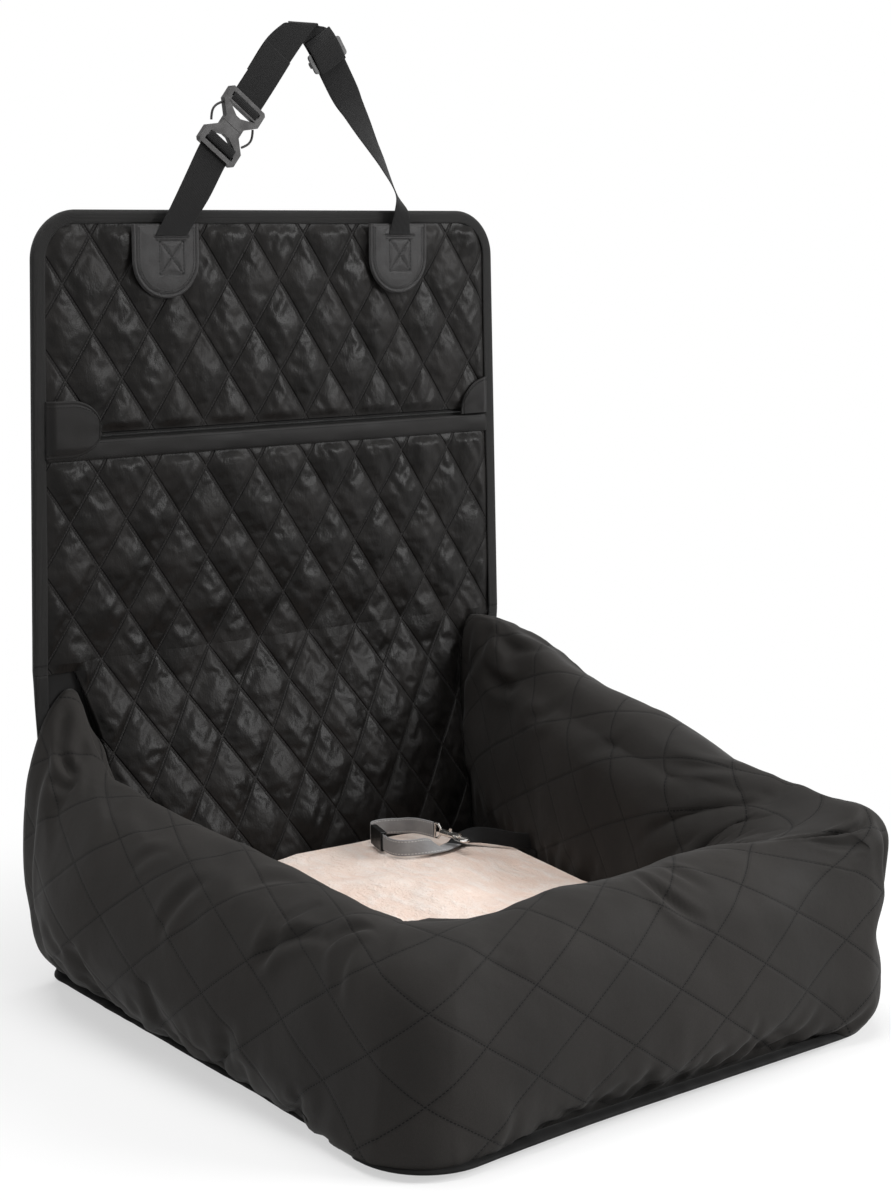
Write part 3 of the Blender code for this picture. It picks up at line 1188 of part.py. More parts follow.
def make_glide():
    """The strap adjuster: end bars in front of the webbing and a middle bar behind it."""
    x, z = right_leg_point(GLIDE_FROM_TOP)
    place = leg_frame(x, z, STRAP_BACK_Y, math.pi - RIGHT_LEG_ANGLE)
    clear = WEBBING_THICKNESS / 2 + RUNNING_GAP
    wide, long = GLIDE_WIDTH / 2, GLIDE_LENGTH / 2
    inner = WEBBING_WIDTH / 2 + RUNNING_GAP
    outline = rounded(-wide, wide, -long, long, (GLIDE_BAR,) * 4, steps=3)
    window = rounded(-inner, inner, -long + GLIDE_BAR, long - GLIDE_BAR, (0, 0, 0, 0))
    frame = plate("tri_glide", [outline, window], GLIDE_PLATE, "black_plastic",
                  place @ Matrix.Translation((0, 0, clear + GLIDE_PLATE / 2)))
    bar_z = -clear - GLIDE_BAR / 2
    outer = wide * 0.98
    near = inner + RUNNING_GAP / 2
    pieces = [box(f"join_glide_rail_{k}", (min(side * outer, side * near), -GLIDE_BAR, bar_z),
                  (max(side * outer, side * near), GLIDE_BAR, clear + GLIDE_PLATE / 2), None, place)
              for k, side in enumerate((-1, 1))]
    pieces.append(box("join_glide_bar", (-wide * 0.95, -GLIDE_BAR / 2, bar_z - GLIDE_BAR / 2),
                      (wide * 0.95, GLIDE_BAR / 2, bar_z + GLIDE_BAR / 2), None, place))
    return combine(frame, pieces, "UNION")


# Tether


def smooth_route(points, count):
    """A smooth curve through points, as a Catmull-Rom spline read at even steps along it."""
    points = np.asarray(points, float)
    ends = np.vstack([2 * points[0] - points[1], points, 2 * points[-1] - points[-2]])
    rows = []
    for i in range(1, len(ends) - 2):
        p0, p1, p2, p3 = ends[i - 1:i + 3]
        for t in np.linspace(0, 1, 12, endpoint=False):
            rows.append(0.5 * (2 * p1 + (p2 - p0) * t + (2 * p0 - 5 * p1 + 4 * p2 - p3) * t ** 2
                               + (3 * p1 - p0 - 3 * p2 + p3) * t ** 3))
    rows.append(points[-1])
    rows = np.array(rows)
    along = np.concatenate([[0], np.cumsum(np.linalg.norm(np.diff(rows[:, :2], axis=0), axis=1))])
    at = np.linspace(0, along[-1], count)
    return np.column_stack([np.interp(at, along, rows[:, k]) for k in range(rows.shape[1])])


def tether_stations():
    """The tether's centre, half width and face normal: it stands on the cushion on edge, or lies flat."""
    route = smooth_route(TETHER_ROUTE, TETHER_STATIONS)
    way = np.gradient(route[:, :2], axis=0)
    way /= np.linalg.norm(way, axis=1, keepdims=True)
    half = TETHER_WIDTH / 2
    end_height = cushion_top(*TETHER_ROUTE[-1, :2]) + HOOK_AXIS_LIFT
    stations = []
    for k, ((x, y, flat), (wx, wy)) in enumerate(zip(route, way)):
        lean = flat * math.pi / 2
        side = Vector((wy, -wx, 0))
        width = side * math.sin(lean) + Vector((0, 0, math.cos(lean)))
        normal = side * math.cos(lean) - Vector((0, 0, math.sin(lean)))
        lift = TETHER_LIFT + flat * (TETHER_FLAT_LIFT - TETHER_LIFT)
        lift += half * math.cos(lean) + TETHER_THICKNESS / 2 * math.sin(lean)
        ground = max(cushion_top(x + dx * half, y + dy * half) for dx in (-1, 0, 1) for dy in (-1, 0, 1))
        height = ground + lift
        blend = max(0.0, (k / (TETHER_STATIONS - 1) - 0.85) / 0.15)
        height = height * (1 - blend) + end_height * blend
        stations.append((Vector((x, y, height)), width * half, normal))
    return stations


def make_tether(cushion):
    stations = tether_stations()
    webbing = ribbon("tether_webbing", stations, TETHER_THICKNESS, "tether_webbing")

    # the sewn end that stands in the gap between the cushion and the right bolster
    centre = stations[0][0]
    top = centre.z - TETHER_WIDTH / 2 - TOUCH_GAP
    rings = []
    for y in (centre.y - TETHER_WIDTH / 2, centre.y + TETHER_WIDTH / 2):
        x = well_half_width(y) - CUSHION_GAP / 2
        thick = TETHER_THICKNESS / 2
        rings.append([(x - thick, y, FLOOR_Z), (x + thick, y, FLOOR_Z),
                      (x + thick, y, top), (x - thick, y, top)])
    lofted("tether_anchor", rings, "webbing")

    # the slider round the webbing, on the straight left run
    centres = np.array([centre[:2] for centre, half, normal in stations])
    index = int(np.argmin(np.hypot(*(centres - TETHER_ROUTE[11, :2]).T)))
    at = stations[index][0]
    ahead = (stations[index + 1][0] - stations[index - 1][0]).normalized()
    up = Vector((0, 0, 1))
    side = ahead.cross(up).normalized()
    up = side.cross(ahead).normalized()
    place = Matrix.Translation(at) @ Matrix((side, ahead, up)).transposed().to_4x4()
    gap = TETHER_THICKNESS / 2 + 3 * RUNNING_GAP
    tall = TETHER_WIDTH / 2 + 2 * RUNNING_GAP
    wall = TETHER_SLIDER_WALL
    long = TETHER_SLIDER_LENGTH / 2
    slider = box("tether_slider", (-gap - wall, -long, -tall - wall / 2), (gap + wall, long, tall + wall / 2),
                 "black_plastic", place)
    soften(slider, wall / 3)
    bore = box("cut_tether_slider", (-gap, -2 * long, -tall), (gap, 2 * long, tall), None, place)
    combine(slider, [bore], "DIFFERENCE")
    eye, body, bolt, swivel_at = make_hook(stations[-1])
    hang(axis_empty("cushion_axis", (0, 0, FLOOR_Z)), cushion + [webbing, eye])
    hang(axis_empty("tether_slider_axis", at), [slider])
    hang(axis_empty("hook_swivel_axis", swivel_at), [body])
    hang(axis_empty("hook_bolt_axis", swivel_at), [bolt])


def make_hook(last):
    """The swivel eye that the tether ends in, and the bolt snap that turns on it.

    In the hook's own frame X runs along it, and the hook's bow lies on the -Y side of its barrel."""
    direction = HOOK_DIRECTION
    side = direction.cross(Vector((0, 0, 1))).normalized()
    up = side.cross(direction).normalized()
    start = last[0] + direction * (EYE_WIRE + TOUCH_GAP)
    place = Matrix.Translation(start) @ Matrix((direction, -side, up)).transposed().to_4x4()
    tall = TETHER_WIDTH / 2 + EYE_WIRE
    bow = 2 * BARREL_RADIUS
    loop = [(0, 0, -tall * 0.8), (0, 0, tall * 0.8), (bow * 0.6, 0, tall * 0.75), (bow, 0, BARREL_RADIUS),
            (bow, 0, -BARREL_RADIUS), (bow * 0.6, 0, -tall * 0.75)]
    eye = tube("swivel_eye", loop, EYE_WIRE, "nickel", cyclic=True, place=place)

    near = bow + EYE_WIRE + TOUCH_GAP
    far = near + BARREL_LENGTH
    body = cylinder("hook_body", (near, 0, 0), (far, 0, 0), BARREL_RADIUS, "nickel", place)
    tip = far + HOOK_LENGTH - HOOK_REACH / 2
    path = [(far - 2 * BARREL_RADIUS, -BARREL_RADIUS / 2, 0), (far - HOOK_WIRE, -HOOK_REACH * 0.62, 0),
            (far + HOOK_WIRE, -HOOK_REACH * 0.94, 0)]
    for angle in np.linspace(-math.pi / 2, math.pi / 2, 9):
        path.append((tip + math.cos(angle) * HOOK_REACH / 2, HOOK_REACH / 2 * (math.sin(angle) - 1), 0))
    bolt_end = tip - HOOK_WIRE
    path.append((bolt_end + TOUCH_GAP, 0, 0))
    wire = tube("join_hook_bow", path, HOOK_WIRE, None, place=place)
    inside = far - BOLT_INSIDE
    bore = cylinder("cut_barrel_bore", (inside - BOLT_TRAVEL - TOUCH_GAP, 0, 0), (far + OVERRUN / 2, 0, 0),
                    BOLT_RADIUS + TOUCH_GAP, None, place)
    knob_x = inside + KNOB_RADIUS
    room = KNOB_RADIUS + TOUCH_GAP
    slot = box("cut_barrel_slot", (knob_x - BOLT_TRAVEL - room, -room, 0),
               (knob_x + room, room, OVERRUN), None, place)
    combine(body, [wire], "UNION")
    combine(body, [bore, slot], "DIFFERENCE")
    bolt = cylinder("hook_bolt", (inside, 0, 0), (bolt_end, 0, 0), BOLT_RADIUS, "nickel", place)
    knob_top = BARREL_RADIUS + KNOB_HEIGHT
    knob = cylinder("join_bolt_knob", (knob_x, 0, 0), (knob_x, 0, knob_top), KNOB_RADIUS, None, place)
    combine(bolt, [knob], "UNION")
    return eye, body, bolt, start + direction * near


def main():
    clear_scene()
    make_base()
    make_base_slider()
    make_bolsters()
    make_rear_wall()
    make_panel()
    make_straps()
    make_tether(make_cushion())


main()
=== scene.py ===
import math

import bpy
import numpy as np
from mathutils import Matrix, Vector


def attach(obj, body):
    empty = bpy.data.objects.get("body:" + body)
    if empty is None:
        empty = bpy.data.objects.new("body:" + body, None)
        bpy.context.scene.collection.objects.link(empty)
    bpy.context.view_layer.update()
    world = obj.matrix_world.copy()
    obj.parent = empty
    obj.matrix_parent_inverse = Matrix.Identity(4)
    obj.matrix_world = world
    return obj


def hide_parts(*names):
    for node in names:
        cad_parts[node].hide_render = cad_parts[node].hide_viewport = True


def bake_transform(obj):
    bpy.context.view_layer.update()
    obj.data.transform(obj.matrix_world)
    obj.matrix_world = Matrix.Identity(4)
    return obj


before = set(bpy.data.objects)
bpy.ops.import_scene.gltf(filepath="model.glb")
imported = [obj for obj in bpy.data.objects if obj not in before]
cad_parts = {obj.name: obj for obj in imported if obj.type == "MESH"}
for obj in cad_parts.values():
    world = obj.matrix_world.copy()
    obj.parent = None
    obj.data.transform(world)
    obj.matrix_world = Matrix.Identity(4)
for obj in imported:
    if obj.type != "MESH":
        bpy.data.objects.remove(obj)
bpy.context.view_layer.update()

# Sizes of the seat in metres, as its solids have them: X is its width, +Y its back, Z up
HALF_BASE = 0.290
BACK_Y = 0.320
FRONT_Y = -0.308
HEM_Z = 0.0057
FOLD_Z = 0.335
FOLD_RELIEF = 0.0045
PANEL_TOP = 0.803
HALF_TOP = 0.2935  # half the panel's width at its top, and at its fold below
HALF_FOLD = 0.3070
PANEL_RADIUS = 0.050
BINDING_LEG = 0.014
BINDING_DEPTH = 0.0090
BRIDGE_DEPTH = 0.0088  # the tape's depth where it crosses the fold
POCKET_TOP = 0.5695
DIAMOND = (0.0652, 0.0975)  # a stitched diamond's width and height
UPPER_SEAM = (-0.262, 0.728)  # a place where two seams cross, on each quilted front
POCKET_SEAM = (-0.098, 0.533)
BOLSTER_DIAMOND = (0.111, 0.077)
BOLSTER_SEAM = (-0.055, 0.070)
UP = np.array([0, 0, 1.0])
THREAD_PITCH = 0.0036
THREAD_LENGTH = 0.0026
THREAD_RADIUS = 0.00032


# Shapes worked out as arrays


def leaned(x, z):
    """Where an x of the panel's top lies at a height: the sides lean out to the fold, then in below it."""
    return x * np.interp(z, (HEM_Z, FOLD_Z, PANEL_TOP), (HALF_BASE, HALF_FOLD, HALF_TOP)) / HALF_TOP


def blended(a, b, share):
    """The value that lies a share of the way from a to b."""
    return a + (b - a) * share


def eased(value, low, high):
    """0 below low, 1 above high, and the smooth cubic step between."""
    t = np.clip((value - low) / (high - low), 0, 1)
    return t * t * (3 - 2 * t)


def through(rows, count):
    """The Catmull-Rom curve through rows of values, read at even steps of the row number."""
    rows = np.asarray(rows, float)
    last = len(rows) - 1
    step = np.linspace(0, last, count)
    k = np.minimum(step.astype(int), last - 1)
    t = (step - k).reshape((-1,) + (1,) * (rows.ndim - 1))
    ends = np.concatenate([2 * rows[:1] - rows[1:2], rows, 2 * rows[-1:] - rows[-2:-1]])
    p0, p1, p2, p3 = ends[k], ends[k + 1], ends[k + 2], ends[k + 3]
    return 0.5 * (2 * p1 + (p2 - p0) * t + (2 * p0 - 5 * p1 + 4 * p2 - p3) * t ** 2
                  + (3 * p1 - p0 - 3 * p2 + p3) * t ** 3)


def run_of(points):
    """Each point's distance along its line, from 0 at the first."""
    return np.concatenate([[0], np.cumsum(np.linalg.norm(np.diff(points, axis=0), axis=1))])


def read_at(rows, at, spots):
    """Rows of values that lie at some distances of a line, read at other distances."""
    return np.column_stack([np.interp(spots, at, rows[:, k]) for k in range(rows.shape[1])])


def evenly(rows, count):
    """Rows of a line, x, y and z first, read at even distances along it."""
    at = run_of(rows[:, :3])
    return read_at(rows, at, np.linspace(0, at[-1], count))


def unit(vectors):
    """Vectors divided by their own length."""
    return vectors / np.maximum(np.linalg.norm(vectors, axis=-1, keepdims=True), 1e-9)


def signed_power(value, power):
    """A power of the value's size, with the value's own sign."""
    return np.sign(value) * np.abs(value) ** power


def slants(u, v, tile, start):
    """How many diamonds lie between the start and a place, along each of the quilting's two slants."""
    wide, tall = tile
    return (u - start[0]) / wide + (v - start[1]) / tall, (u - start[0]) / wide - (v - start[1]) / tall


NOISE_ROWS, NOISE_COLUMNS = 97, 89


def ripple(u, v, seed):
    """Smooth noise from -1 to 1: random values on whole numbers of u and v, joined by cubic steps."""
    table = np.random.default_rng(seed).uniform(-1, 1, (NOISE_ROWS, NOISE_COLUMNS))
    i, j = np.floor(u).astype(int), np.floor(v).astype(int)
    s, t = eased(u - i, 0, 1), eased(v - j, 0, 1)

    def value(a, b):
        """The random value of a cell's corner."""
        return table[(i + a) % NOISE_ROWS, (j + b) % NOISE_COLUMNS]

    return blended(blended(value(0, 0), value(1, 0), s), blended(value(0, 1), value(1, 1), s), t)


def mesh_piece(name, verts, faces, finish, marks=None):
    """A smooth piece from points and faces, with marks as each face corner's place on the cloth."""
    mesh = bpy.data.meshes.new(name)
    mesh.from_pydata(verts, [], faces)
    mesh.update()
    if marks is not None:
        layer = mesh.uv_layers.new(name="cloth")
        layer.data.foreach_set("uv", np.asarray(marks, np.float32).ravel())
    mesh.shade_smooth()
    ob = bpy.data.objects.new(name, mesh)
    bpy.context.scene.collection.objects.link(ob)
    mesh.materials.append(finish)
    return ob


def outward(verts, faces, marks):
    """The faces and their marks, turned round where their signed volume is negative."""
    a, b, c = (verts[faces[:, k]] for k in range(3))
    volume = np.einsum("ij,ij->i", a, np.cross(b, c)).sum()
    if faces.shape[1] == 4:
        d = verts[faces[:, 3]]
        volume += np.einsum("ij,ij->i", a, np.cross(c, d)).sum()
    if volume >= 0:
        return faces, marks
    return faces[:, ::-1], marks[:, ::-1]


def corners_of(grid, rows, columns):
    """The four corner numbers of every cell of a grid, by its wrapped row and column numbers."""
    i, j = np.meshgrid(np.arange(rows), np.arange(columns), indexing="ij")
    n, m = (i + 1) % grid.shape[0], (j + 1) % grid.shape[1]
    return np.stack([grid[i, j], grid[n, j], grid[n, m], grid[i, m]], -1).reshape(-1, 4)


def rolled(name, points, finish, marks=None, ring=False):
    """A closed skin: points[i, j] with j round the section. Fans cap its ends, or ring joins them."""
    rows, columns = points.shape[:2]
    verts = points.reshape(-1, 3)
    spans = rows if ring else rows - 1
    faces = corners_of(np.arange(rows * columns).reshape(rows, columns), spans, columns)
    if marks is None:
        along = np.arange(rows + 1) / rows
        around = np.arange(columns + 1) / columns
        marks = np.stack(np.meshgrid(along, around, indexing="ij"), -1)
    else:
        marks = np.concatenate([marks, marks[:, -1:] + (marks[:, -1:] - marks[:, -2:-1])], 1)
        if ring:
            marks = np.concatenate([marks, marks[-1:] + (marks[-1:] - marks[-2:-1])], 0)
    i, j = (x.ravel() for x in np.meshgrid(np.arange(spans), np.arange(columns), indexing="ij"))
    spots = np.stack([marks[i, j], marks[i + 1, j], marks[i + 1, j + 1], marks[i, j + 1]], 1)
    faces, spots = outward(verts, faces, spots)
    faces, spots = faces.tolist(), spots.reshape(-1, 2)
    if not ring:
        base = len(verts)
        centres = [points[0].mean(0), points[-1].mean(0)]
        verts = np.vstack([verts, centres])
        loop = np.arange(columns)
        after = (loop + 1) % columns
        first = np.column_stack([after, loop, np.full(columns, base)])
        last = (rows - 1) * columns
        final = np.column_stack([last + loop, last + after, np.full(columns, base + 1)])
        # a cap follows the turn that the skin's own faces have
        edge = (faces[0].index(0), faces[0].index(1)) if 1 in faces[0] else (0, 1)
        if (edge[0] + 1) % 4 != edge[1]:
            first, final = first[:, ::-1], final[:, ::-1]
        caps = np.vstack([first, final])
        faces += caps.tolist()
        spots = np.vstack([spots, np.zeros((len(caps) * 3, 2))])
    return mesh_piece(name, verts, faces, finish, spots)


def slab(name, front, back, finish, marks):
    """A closed sheet: a front grid of points, a back grid, and a rim between them."""
    rows, columns = front.shape[:2]
    count = rows * columns
    grid = np.arange(count).reshape(rows, columns)
    face = corners_of(grid, rows - 1, columns - 1)
    loop = np.concatenate([grid[:, 0], grid[-1, 1:], grid[-2::-1, -1], grid[0, -2:0:-1]])
    after = np.roll(loop, -1)
    rim = np.column_stack([after, loop, loop + count, after + count])
    faces = np.vstack([face, face[:, ::-1] + count, rim])
    verts = np.vstack([front.reshape(-1, 3), back.reshape(-1, 3)])
    flat = np.vstack([marks.reshape(-1, 2)] * 2)
    faces, spots = outward(verts, faces, flat[faces])
    return mesh_piece(name, verts, faces.tolist(), finish, spots.reshape(-1, 2))


CLOTH_QUALITY = 5
CLOTH_STRETCH = 12
CLOTH_SHEAR = 4


def swelled(points, held, pressure, slack, cap, frames, mass, bend):
    """The same grid of points after a cloth simulation: air presses from behind, held points stay,
    slack lets the cloth grow by that share, bend stiffens it, and no point moves further than cap."""
    rows, columns = points.shape[:2]
    grid = np.arange(rows * columns).reshape(rows, columns)
    faces = corners_of(grid, rows - 1, columns - 1)
    mesh = bpy.data.meshes.new("swelling")
    mesh.from_pydata(points.reshape(-1, 3), [], faces.tolist())
    ob = bpy.data.objects.new("swelling", mesh)
    bpy.context.scene.collection.objects.link(ob)
    group = ob.vertex_groups.new(name="held")
    group.add(np.flatnonzero(held.ravel()).tolist(), 1.0, "REPLACE")
    cloth = ob.modifiers.new("swelling", "CLOTH")
    stuff = cloth.settings
    stuff.quality = CLOTH_QUALITY
    stuff.mass = mass
    stuff.tension_stiffness = stuff.compression_stiffness = CLOTH_STRETCH
    stuff.shear_stiffness = CLOTH_SHEAR
    stuff.bending_stiffness = bend
    stuff.use_pressure = True
    stuff.uniform_pressure_force = pressure
    stuff.shrink_min = -slack
    stuff.vertex_group_mass = "held"
    stuff.effector_weights.gravity = 0
    cloth.collision_settings.use_collision = False
    scene = bpy.context.scene
    cloth.point_cache.frame_start, cloth.point_cache.frame_end = 1, frames
    for number in range(1, frames + 1):
        scene.frame_set(number)
    result = ob.evaluated_get(bpy.context.evaluated_depsgraph_get()).data
    co = np.zeros(rows * columns * 3, np.float32)
    result.vertices.foreach_get("co", co)
    bpy.data.objects.remove(ob, do_unlink=True)
    bpy.data.meshes.remove(mesh)
    scene.frame_set(1)
    moved = co.reshape(points.shape).astype(float) - points
    far = np.linalg.norm(moved, axis=-1, keepdims=True)
    return points + moved * np.minimum(1, cap / np.maximum(far, 1e-9))


# Shader values and finishes


class Value:
    """One number of a shader. Sums, differences, products, quotients and powers of it add Math nodes."""

    def __init__(self, finish, socket):
        self.finish, self.socket = finish, socket

    def math(self, operation, *others):
        """A Math node's result for this value and the others."""
        sockets = {k: v for k, v in enumerate((self,) + others)}
        return self.finish.node("ShaderNodeMath", {"operation": operation}, sockets)

    def __add__(self, other):
        return self.math("ADD", other)

    def __mul__(self, other):
        return self.math("MULTIPLY", other)

    def __sub__(self, other):
        return self.math("SUBTRACT", other)

    def __truediv__(self, other):
        return self.math("DIVIDE", other)

    def __pow__(self, other):
        return self.math("POWER", other)

    def __rsub__(self, other):
        return self.finish.node("ShaderNodeMath", {"operation": "SUBTRACT"}, {0: other, 1: self})

    def __rtruediv__(self, other):
        return self.finish.node("ShaderNodeMath", {"operation": "DIVIDE"}, {0: other, 1: self})

    __radd__, __rmul__ = __add__, __mul__

    def step(self, low, high, start=0.0, end=1.0):
        """The smooth step between low and high, from start to end."""
        sockets = {"Value": self, "From Min": low, "From Max": high, "To Min": start, "To Max": end}
        return self.finish.node("ShaderNodeMapRange", {"interpolation_type": "SMOOTHSTEP"}, sockets)


class Finish:
    """A material in the making, with its Principled shader and one method that makes its nodes."""

    def __init__(self, name, colour, **shader):
        self.material = bpy.data.materials.new(name)
        self.material.use_nodes = True
        self.tree = self.material.node_tree
        self.tree.nodes.clear()
        self.tree.nodes.new("ShaderNodeOutputMaterial")
        self.shader = self.tree.nodes.new("ShaderNodeBsdfPrincipled")
        self.tree.links.new(self.shader.outputs[0], self.tree.nodes[0].inputs[0])
        self.colour = (*colour, 1.0)
        self.shader.inputs["Base Color"].default_value = self.colour
        self.material.diffuse_color = self.colour
        for socket, value in shader.items():
            self.shader.inputs[socket.replace("_", " ")].default_value = value

    def node(self, kind, settings, sockets, output=0):
        """A node with its settings first, then the values and links of its sockets; gives one output."""
        made = self.tree.nodes.new(kind)
        for name, value in settings.items():
            if name == "stops":
                for k, (place, shade) in enumerate(value):
                    stop = made.color_ramp.elements[k] if k < 2 else made.color_ramp.elements.new(place)
                    stop.position, stop.color = place, (*shade, 1.0)
            else:
                setattr(made, name, value)
        for name, value in sockets.items():
            self.put(made.inputs[name], value)
        return Value(self, made.outputs[output])

    def put(self, socket, value):
        """Sets a socket to a number or a colour, or links a Value to it."""
        if isinstance(value, Value):
            self.tree.links.new(value.socket, socket)
        else:
            socket.default_value = value

    def feed(self, **sockets):
        """Sets or links the Principled shader's own sockets."""
        for name, value in sockets.items():
            self.put(self.shader.inputs[name.replace("_", " ")], value)

    def place(self):
        """A point's place on the object."""
        return self.node("ShaderNodeTexCoord", {}, {}, "Object")

    def parts(self, vector):
        """The three numbers of a vector."""
        split = self.tree.nodes.new("ShaderNodeSeparateXYZ")
        self.put(split.inputs[0], vector)
        return [Value(self, out) for out in split.outputs]

    def cloth(self):
        """A point's place on its cloth: across and along, in metres."""
        u, v, _ = self.parts(self.node("ShaderNodeUVMap", {"uv_map": "cloth"}, {}))
        return u, v

    def noise(self, scale, detail, stretch=None, rough=0.5):
        """Noise over the object, finer or coarser along its axes where stretch is given."""
        where = self.place()
        if stretch:
            where = self.node("ShaderNodeMapping", {}, {"Vector": where, "Scale": stretch})
        sockets = {"Vector": where, "Scale": scale, "Detail": detail, "Roughness": rough}
        return self.node("ShaderNodeTexNoise", {}, sockets)

    def mix(self, share, a, b):
        """A colour between two colours."""
        made = self.tree.nodes.new("ShaderNodeMix")
        made.data_type = "RGBA"
        for socket, value in zip((made.inputs[0], made.inputs[6], made.inputs[7]), (share, a, b)):
            self.put(socket, value if isinstance(value, (Value, float)) else (*value, 1.0))
        return Value(self, made.outputs[2])

    def bump(self, *heights):
        """Bump nodes one after another, each from a height in metres; the last feeds the normal."""
        normal = None
        for height in heights:
            sockets = {"Height": height, "Strength": 1.0, "Distance": 1.0}
            if normal:
                sockets["Normal"] = normal
            normal = self.node("ShaderNodeBump", {}, sockets)
        self.feed(Normal=normal)


def dashed(run, gap):
    """A thread's dashes, one on each whole number of run: 1 on the thread, and 0 in the gaps between."""
    return (run.math("FRACT") - 0.5).math("ABSOLUTE").step(gap, gap + 0.08, 1.0, 0.0)


def seams(u, v, tile, start, width, thread):
    """Stitched diamonds: how near a point is to a seam from 0 to 1, and the thread's dashes on it."""
    p, q = slants(u, v, tile, start)
    slope = math.hypot(1 / tile[0], 1 / tile[1])
    side = math.hypot(*tile) / 2
    near, dashes = None, None
    for across, along in ((p, q), (q, p)):
        away = ((across + 0.5).math("FRACT") - 0.5).math("ABSOLUTE") / slope
        line = away.step(width * 0.4, width, 1.0, 0.0)
        stitch = away.step(thread * 0.7, thread, 1.0, 0.0) * dashed(along * (side / THREAD_PITCH), 0.30)
        near = line if near is None else near.math("MAXIMUM", line)
        dashes = stitch if dashes is None else dashes.math("MAXIMUM", stitch)
    return near, dashes


def satin(name, start):
    """Near-black quilted satin: a faint twill, soft crinkles, painted shade along each seam, and dashed
    thread sunk in each seam.
    """
    f = Finish(name, (0.0105, 0.0098, 0.0095), Roughness=0.46, Sheen_Weight=0.02, Sheen_Roughness=0.35,
               Specular_IOR_Level=0.11)
    x, _, z = f.parts(f.place())
    near, dashes = seams(x, z, DIAMOND, start, width=0.0022, thread=0.0006)
    mottle = f.noise(22.0, 3.0)
    fine = f.noise(900.0, 1.0)
    crinkle = f.noise(60.0, 4.0, stretch=(1.0, 1.0, 0.55), rough=0.6)
    colour = f.mix(mottle.step(0.35, 0.7), (0.0066, 0.0061, 0.0057), (0.0120, 0.0110, 0.0104))
    # painted shade: the satin is darkened along each seam's sunk valley
    colour = f.mix(near * 0.55, colour, (0.0045, 0.0042, 0.0042))
    colour = f.mix(dashes * 0.8, colour, (0.0240, 0.0225, 0.0220))
    f.feed(Base_Color=colour, Roughness=mottle.step(0.3, 0.75, 0.36, 0.50) + near * 0.2)
    f.bump(crinkle * 0.0016, near * -0.0009 + dashes * 0.0004, fine * 0.00006)
    return f.material


def bolster_cloth(name):
    """Matte charcoal polyester: a fine twill, flat quilting in wide diamonds with dashed thread, and painted
    shade along the seams.
    """
    f = Finish(name, (0.0155, 0.0142, 0.0132), Roughness=0.70, Sheen_Weight=0.04, Sheen_Roughness=0.45,
               Specular_IOR_Level=0.10)
    u, v = f.cloth()
    near, dashes = seams(u, v, BOLSTER_DIAMOND, BOLSTER_SEAM, width=0.0030, thread=0.0007)
    mottle = f.noise(9.0, 4.0)
    fine = f.noise(1100.0, 1.0)
    soft = f.noise(34.0, 3.0)
    colour = f.mix(mottle.step(0.3, 0.7), (0.0190, 0.0176, 0.0164), (0.0250, 0.0230, 0.0214))
    colour = f.mix(fine.step(0.35, 0.65) * 0.3, colour, (0.0120, 0.0111, 0.0104))
    # painted shade: the cloth is darkened along each quilting seam's groove
    colour = f.mix(near * 0.25, colour, (0.0100, 0.0092, 0.0088))
    colour = f.mix(dashes * 0.9, colour, (0.0040, 0.0038, 0.0038))
    f.feed(Base_Color=colour, Roughness=mottle.step(0.3, 0.7, 0.62, 0.76))
    f.bump(soft * 0.0010, near * -0.00022 + dashes * -0.0003, fine * 0.00010)
    return f.material


def plain_cloth(name, low, high, roughness, grain=0.00012):
    """Plain dark cloth: a fine grain and slow mottling."""
    f = Finish(name, high, Roughness=roughness, Sheen_Weight=0.04, Specular_IOR_Level=0.12)
    mottle = f.noise(14.0, 3.0)
    fine = f.noise(1000.0, 1.0)
    colour = f.mix(mottle.step(0.3, 0.7), low, high)
    f.feed(Base_Color=f.mix(fine.step(0.3, 0.7) * 0.4, colour, low),
           Roughness=mottle.step(0.3, 0.7, roughness - 0.08, roughness + 0.06))
    f.bump(mottle * 0.0012, fine * grain)
    return f.material


def ribbed_tape(name, low, high, pitch, depth, edge=None, half=1.0, black=0.0):
    """Woven tape: a twill of crossed slanted ribs at a pitch, and stitched borders where edge is given.
    Its first part is black, as far along as black says."""
    roughness = 0.62
    f = Finish(name, high, Roughness=roughness, Sheen_Weight=0.03, Specular_IOR_Level=0.14)
    across, along = f.cloth()
    turns, slant = along * (2 * math.pi / pitch), across * (2 * math.pi / (pitch * 1.7))
    pattern = (turns + slant).math("SINE") * (turns - slant).math("SINE")
    wear = f.noise(40.0, 3.0)
    share = pattern.step(-0.7, 0.7) * 0.6 + wear.step(0.3, 0.7) * 0.4
    colour = f.mix(share, low, high)
    height = pattern * depth
    if edge is not None:
        away = (across.math("ABSOLUTE") - edge).math("ABSOLUTE")
        thread = away.step(half * 0.035, half * 0.06, 1.0, 0.0)
        dash = dashed(along / THREAD_PITCH, 0.28)
        colour = f.mix(thread * dash * 0.7, colour, tuple(min(1.0, c * 1.9) for c in high))
        height = height - thread * depth * 2 + thread * dash * depth * 2
    if black:
        colour = f.mix(along.step(black - 0.002, black + 0.002, 1.0, 0.0), colour, (0.0100, 0.0100, 0.0102))
    f.feed(Base_Color=colour, Roughness=wear.step(0.3, 0.7, roughness - 0.06, roughness + 0.08))
    f.bump(height)
    return f.material


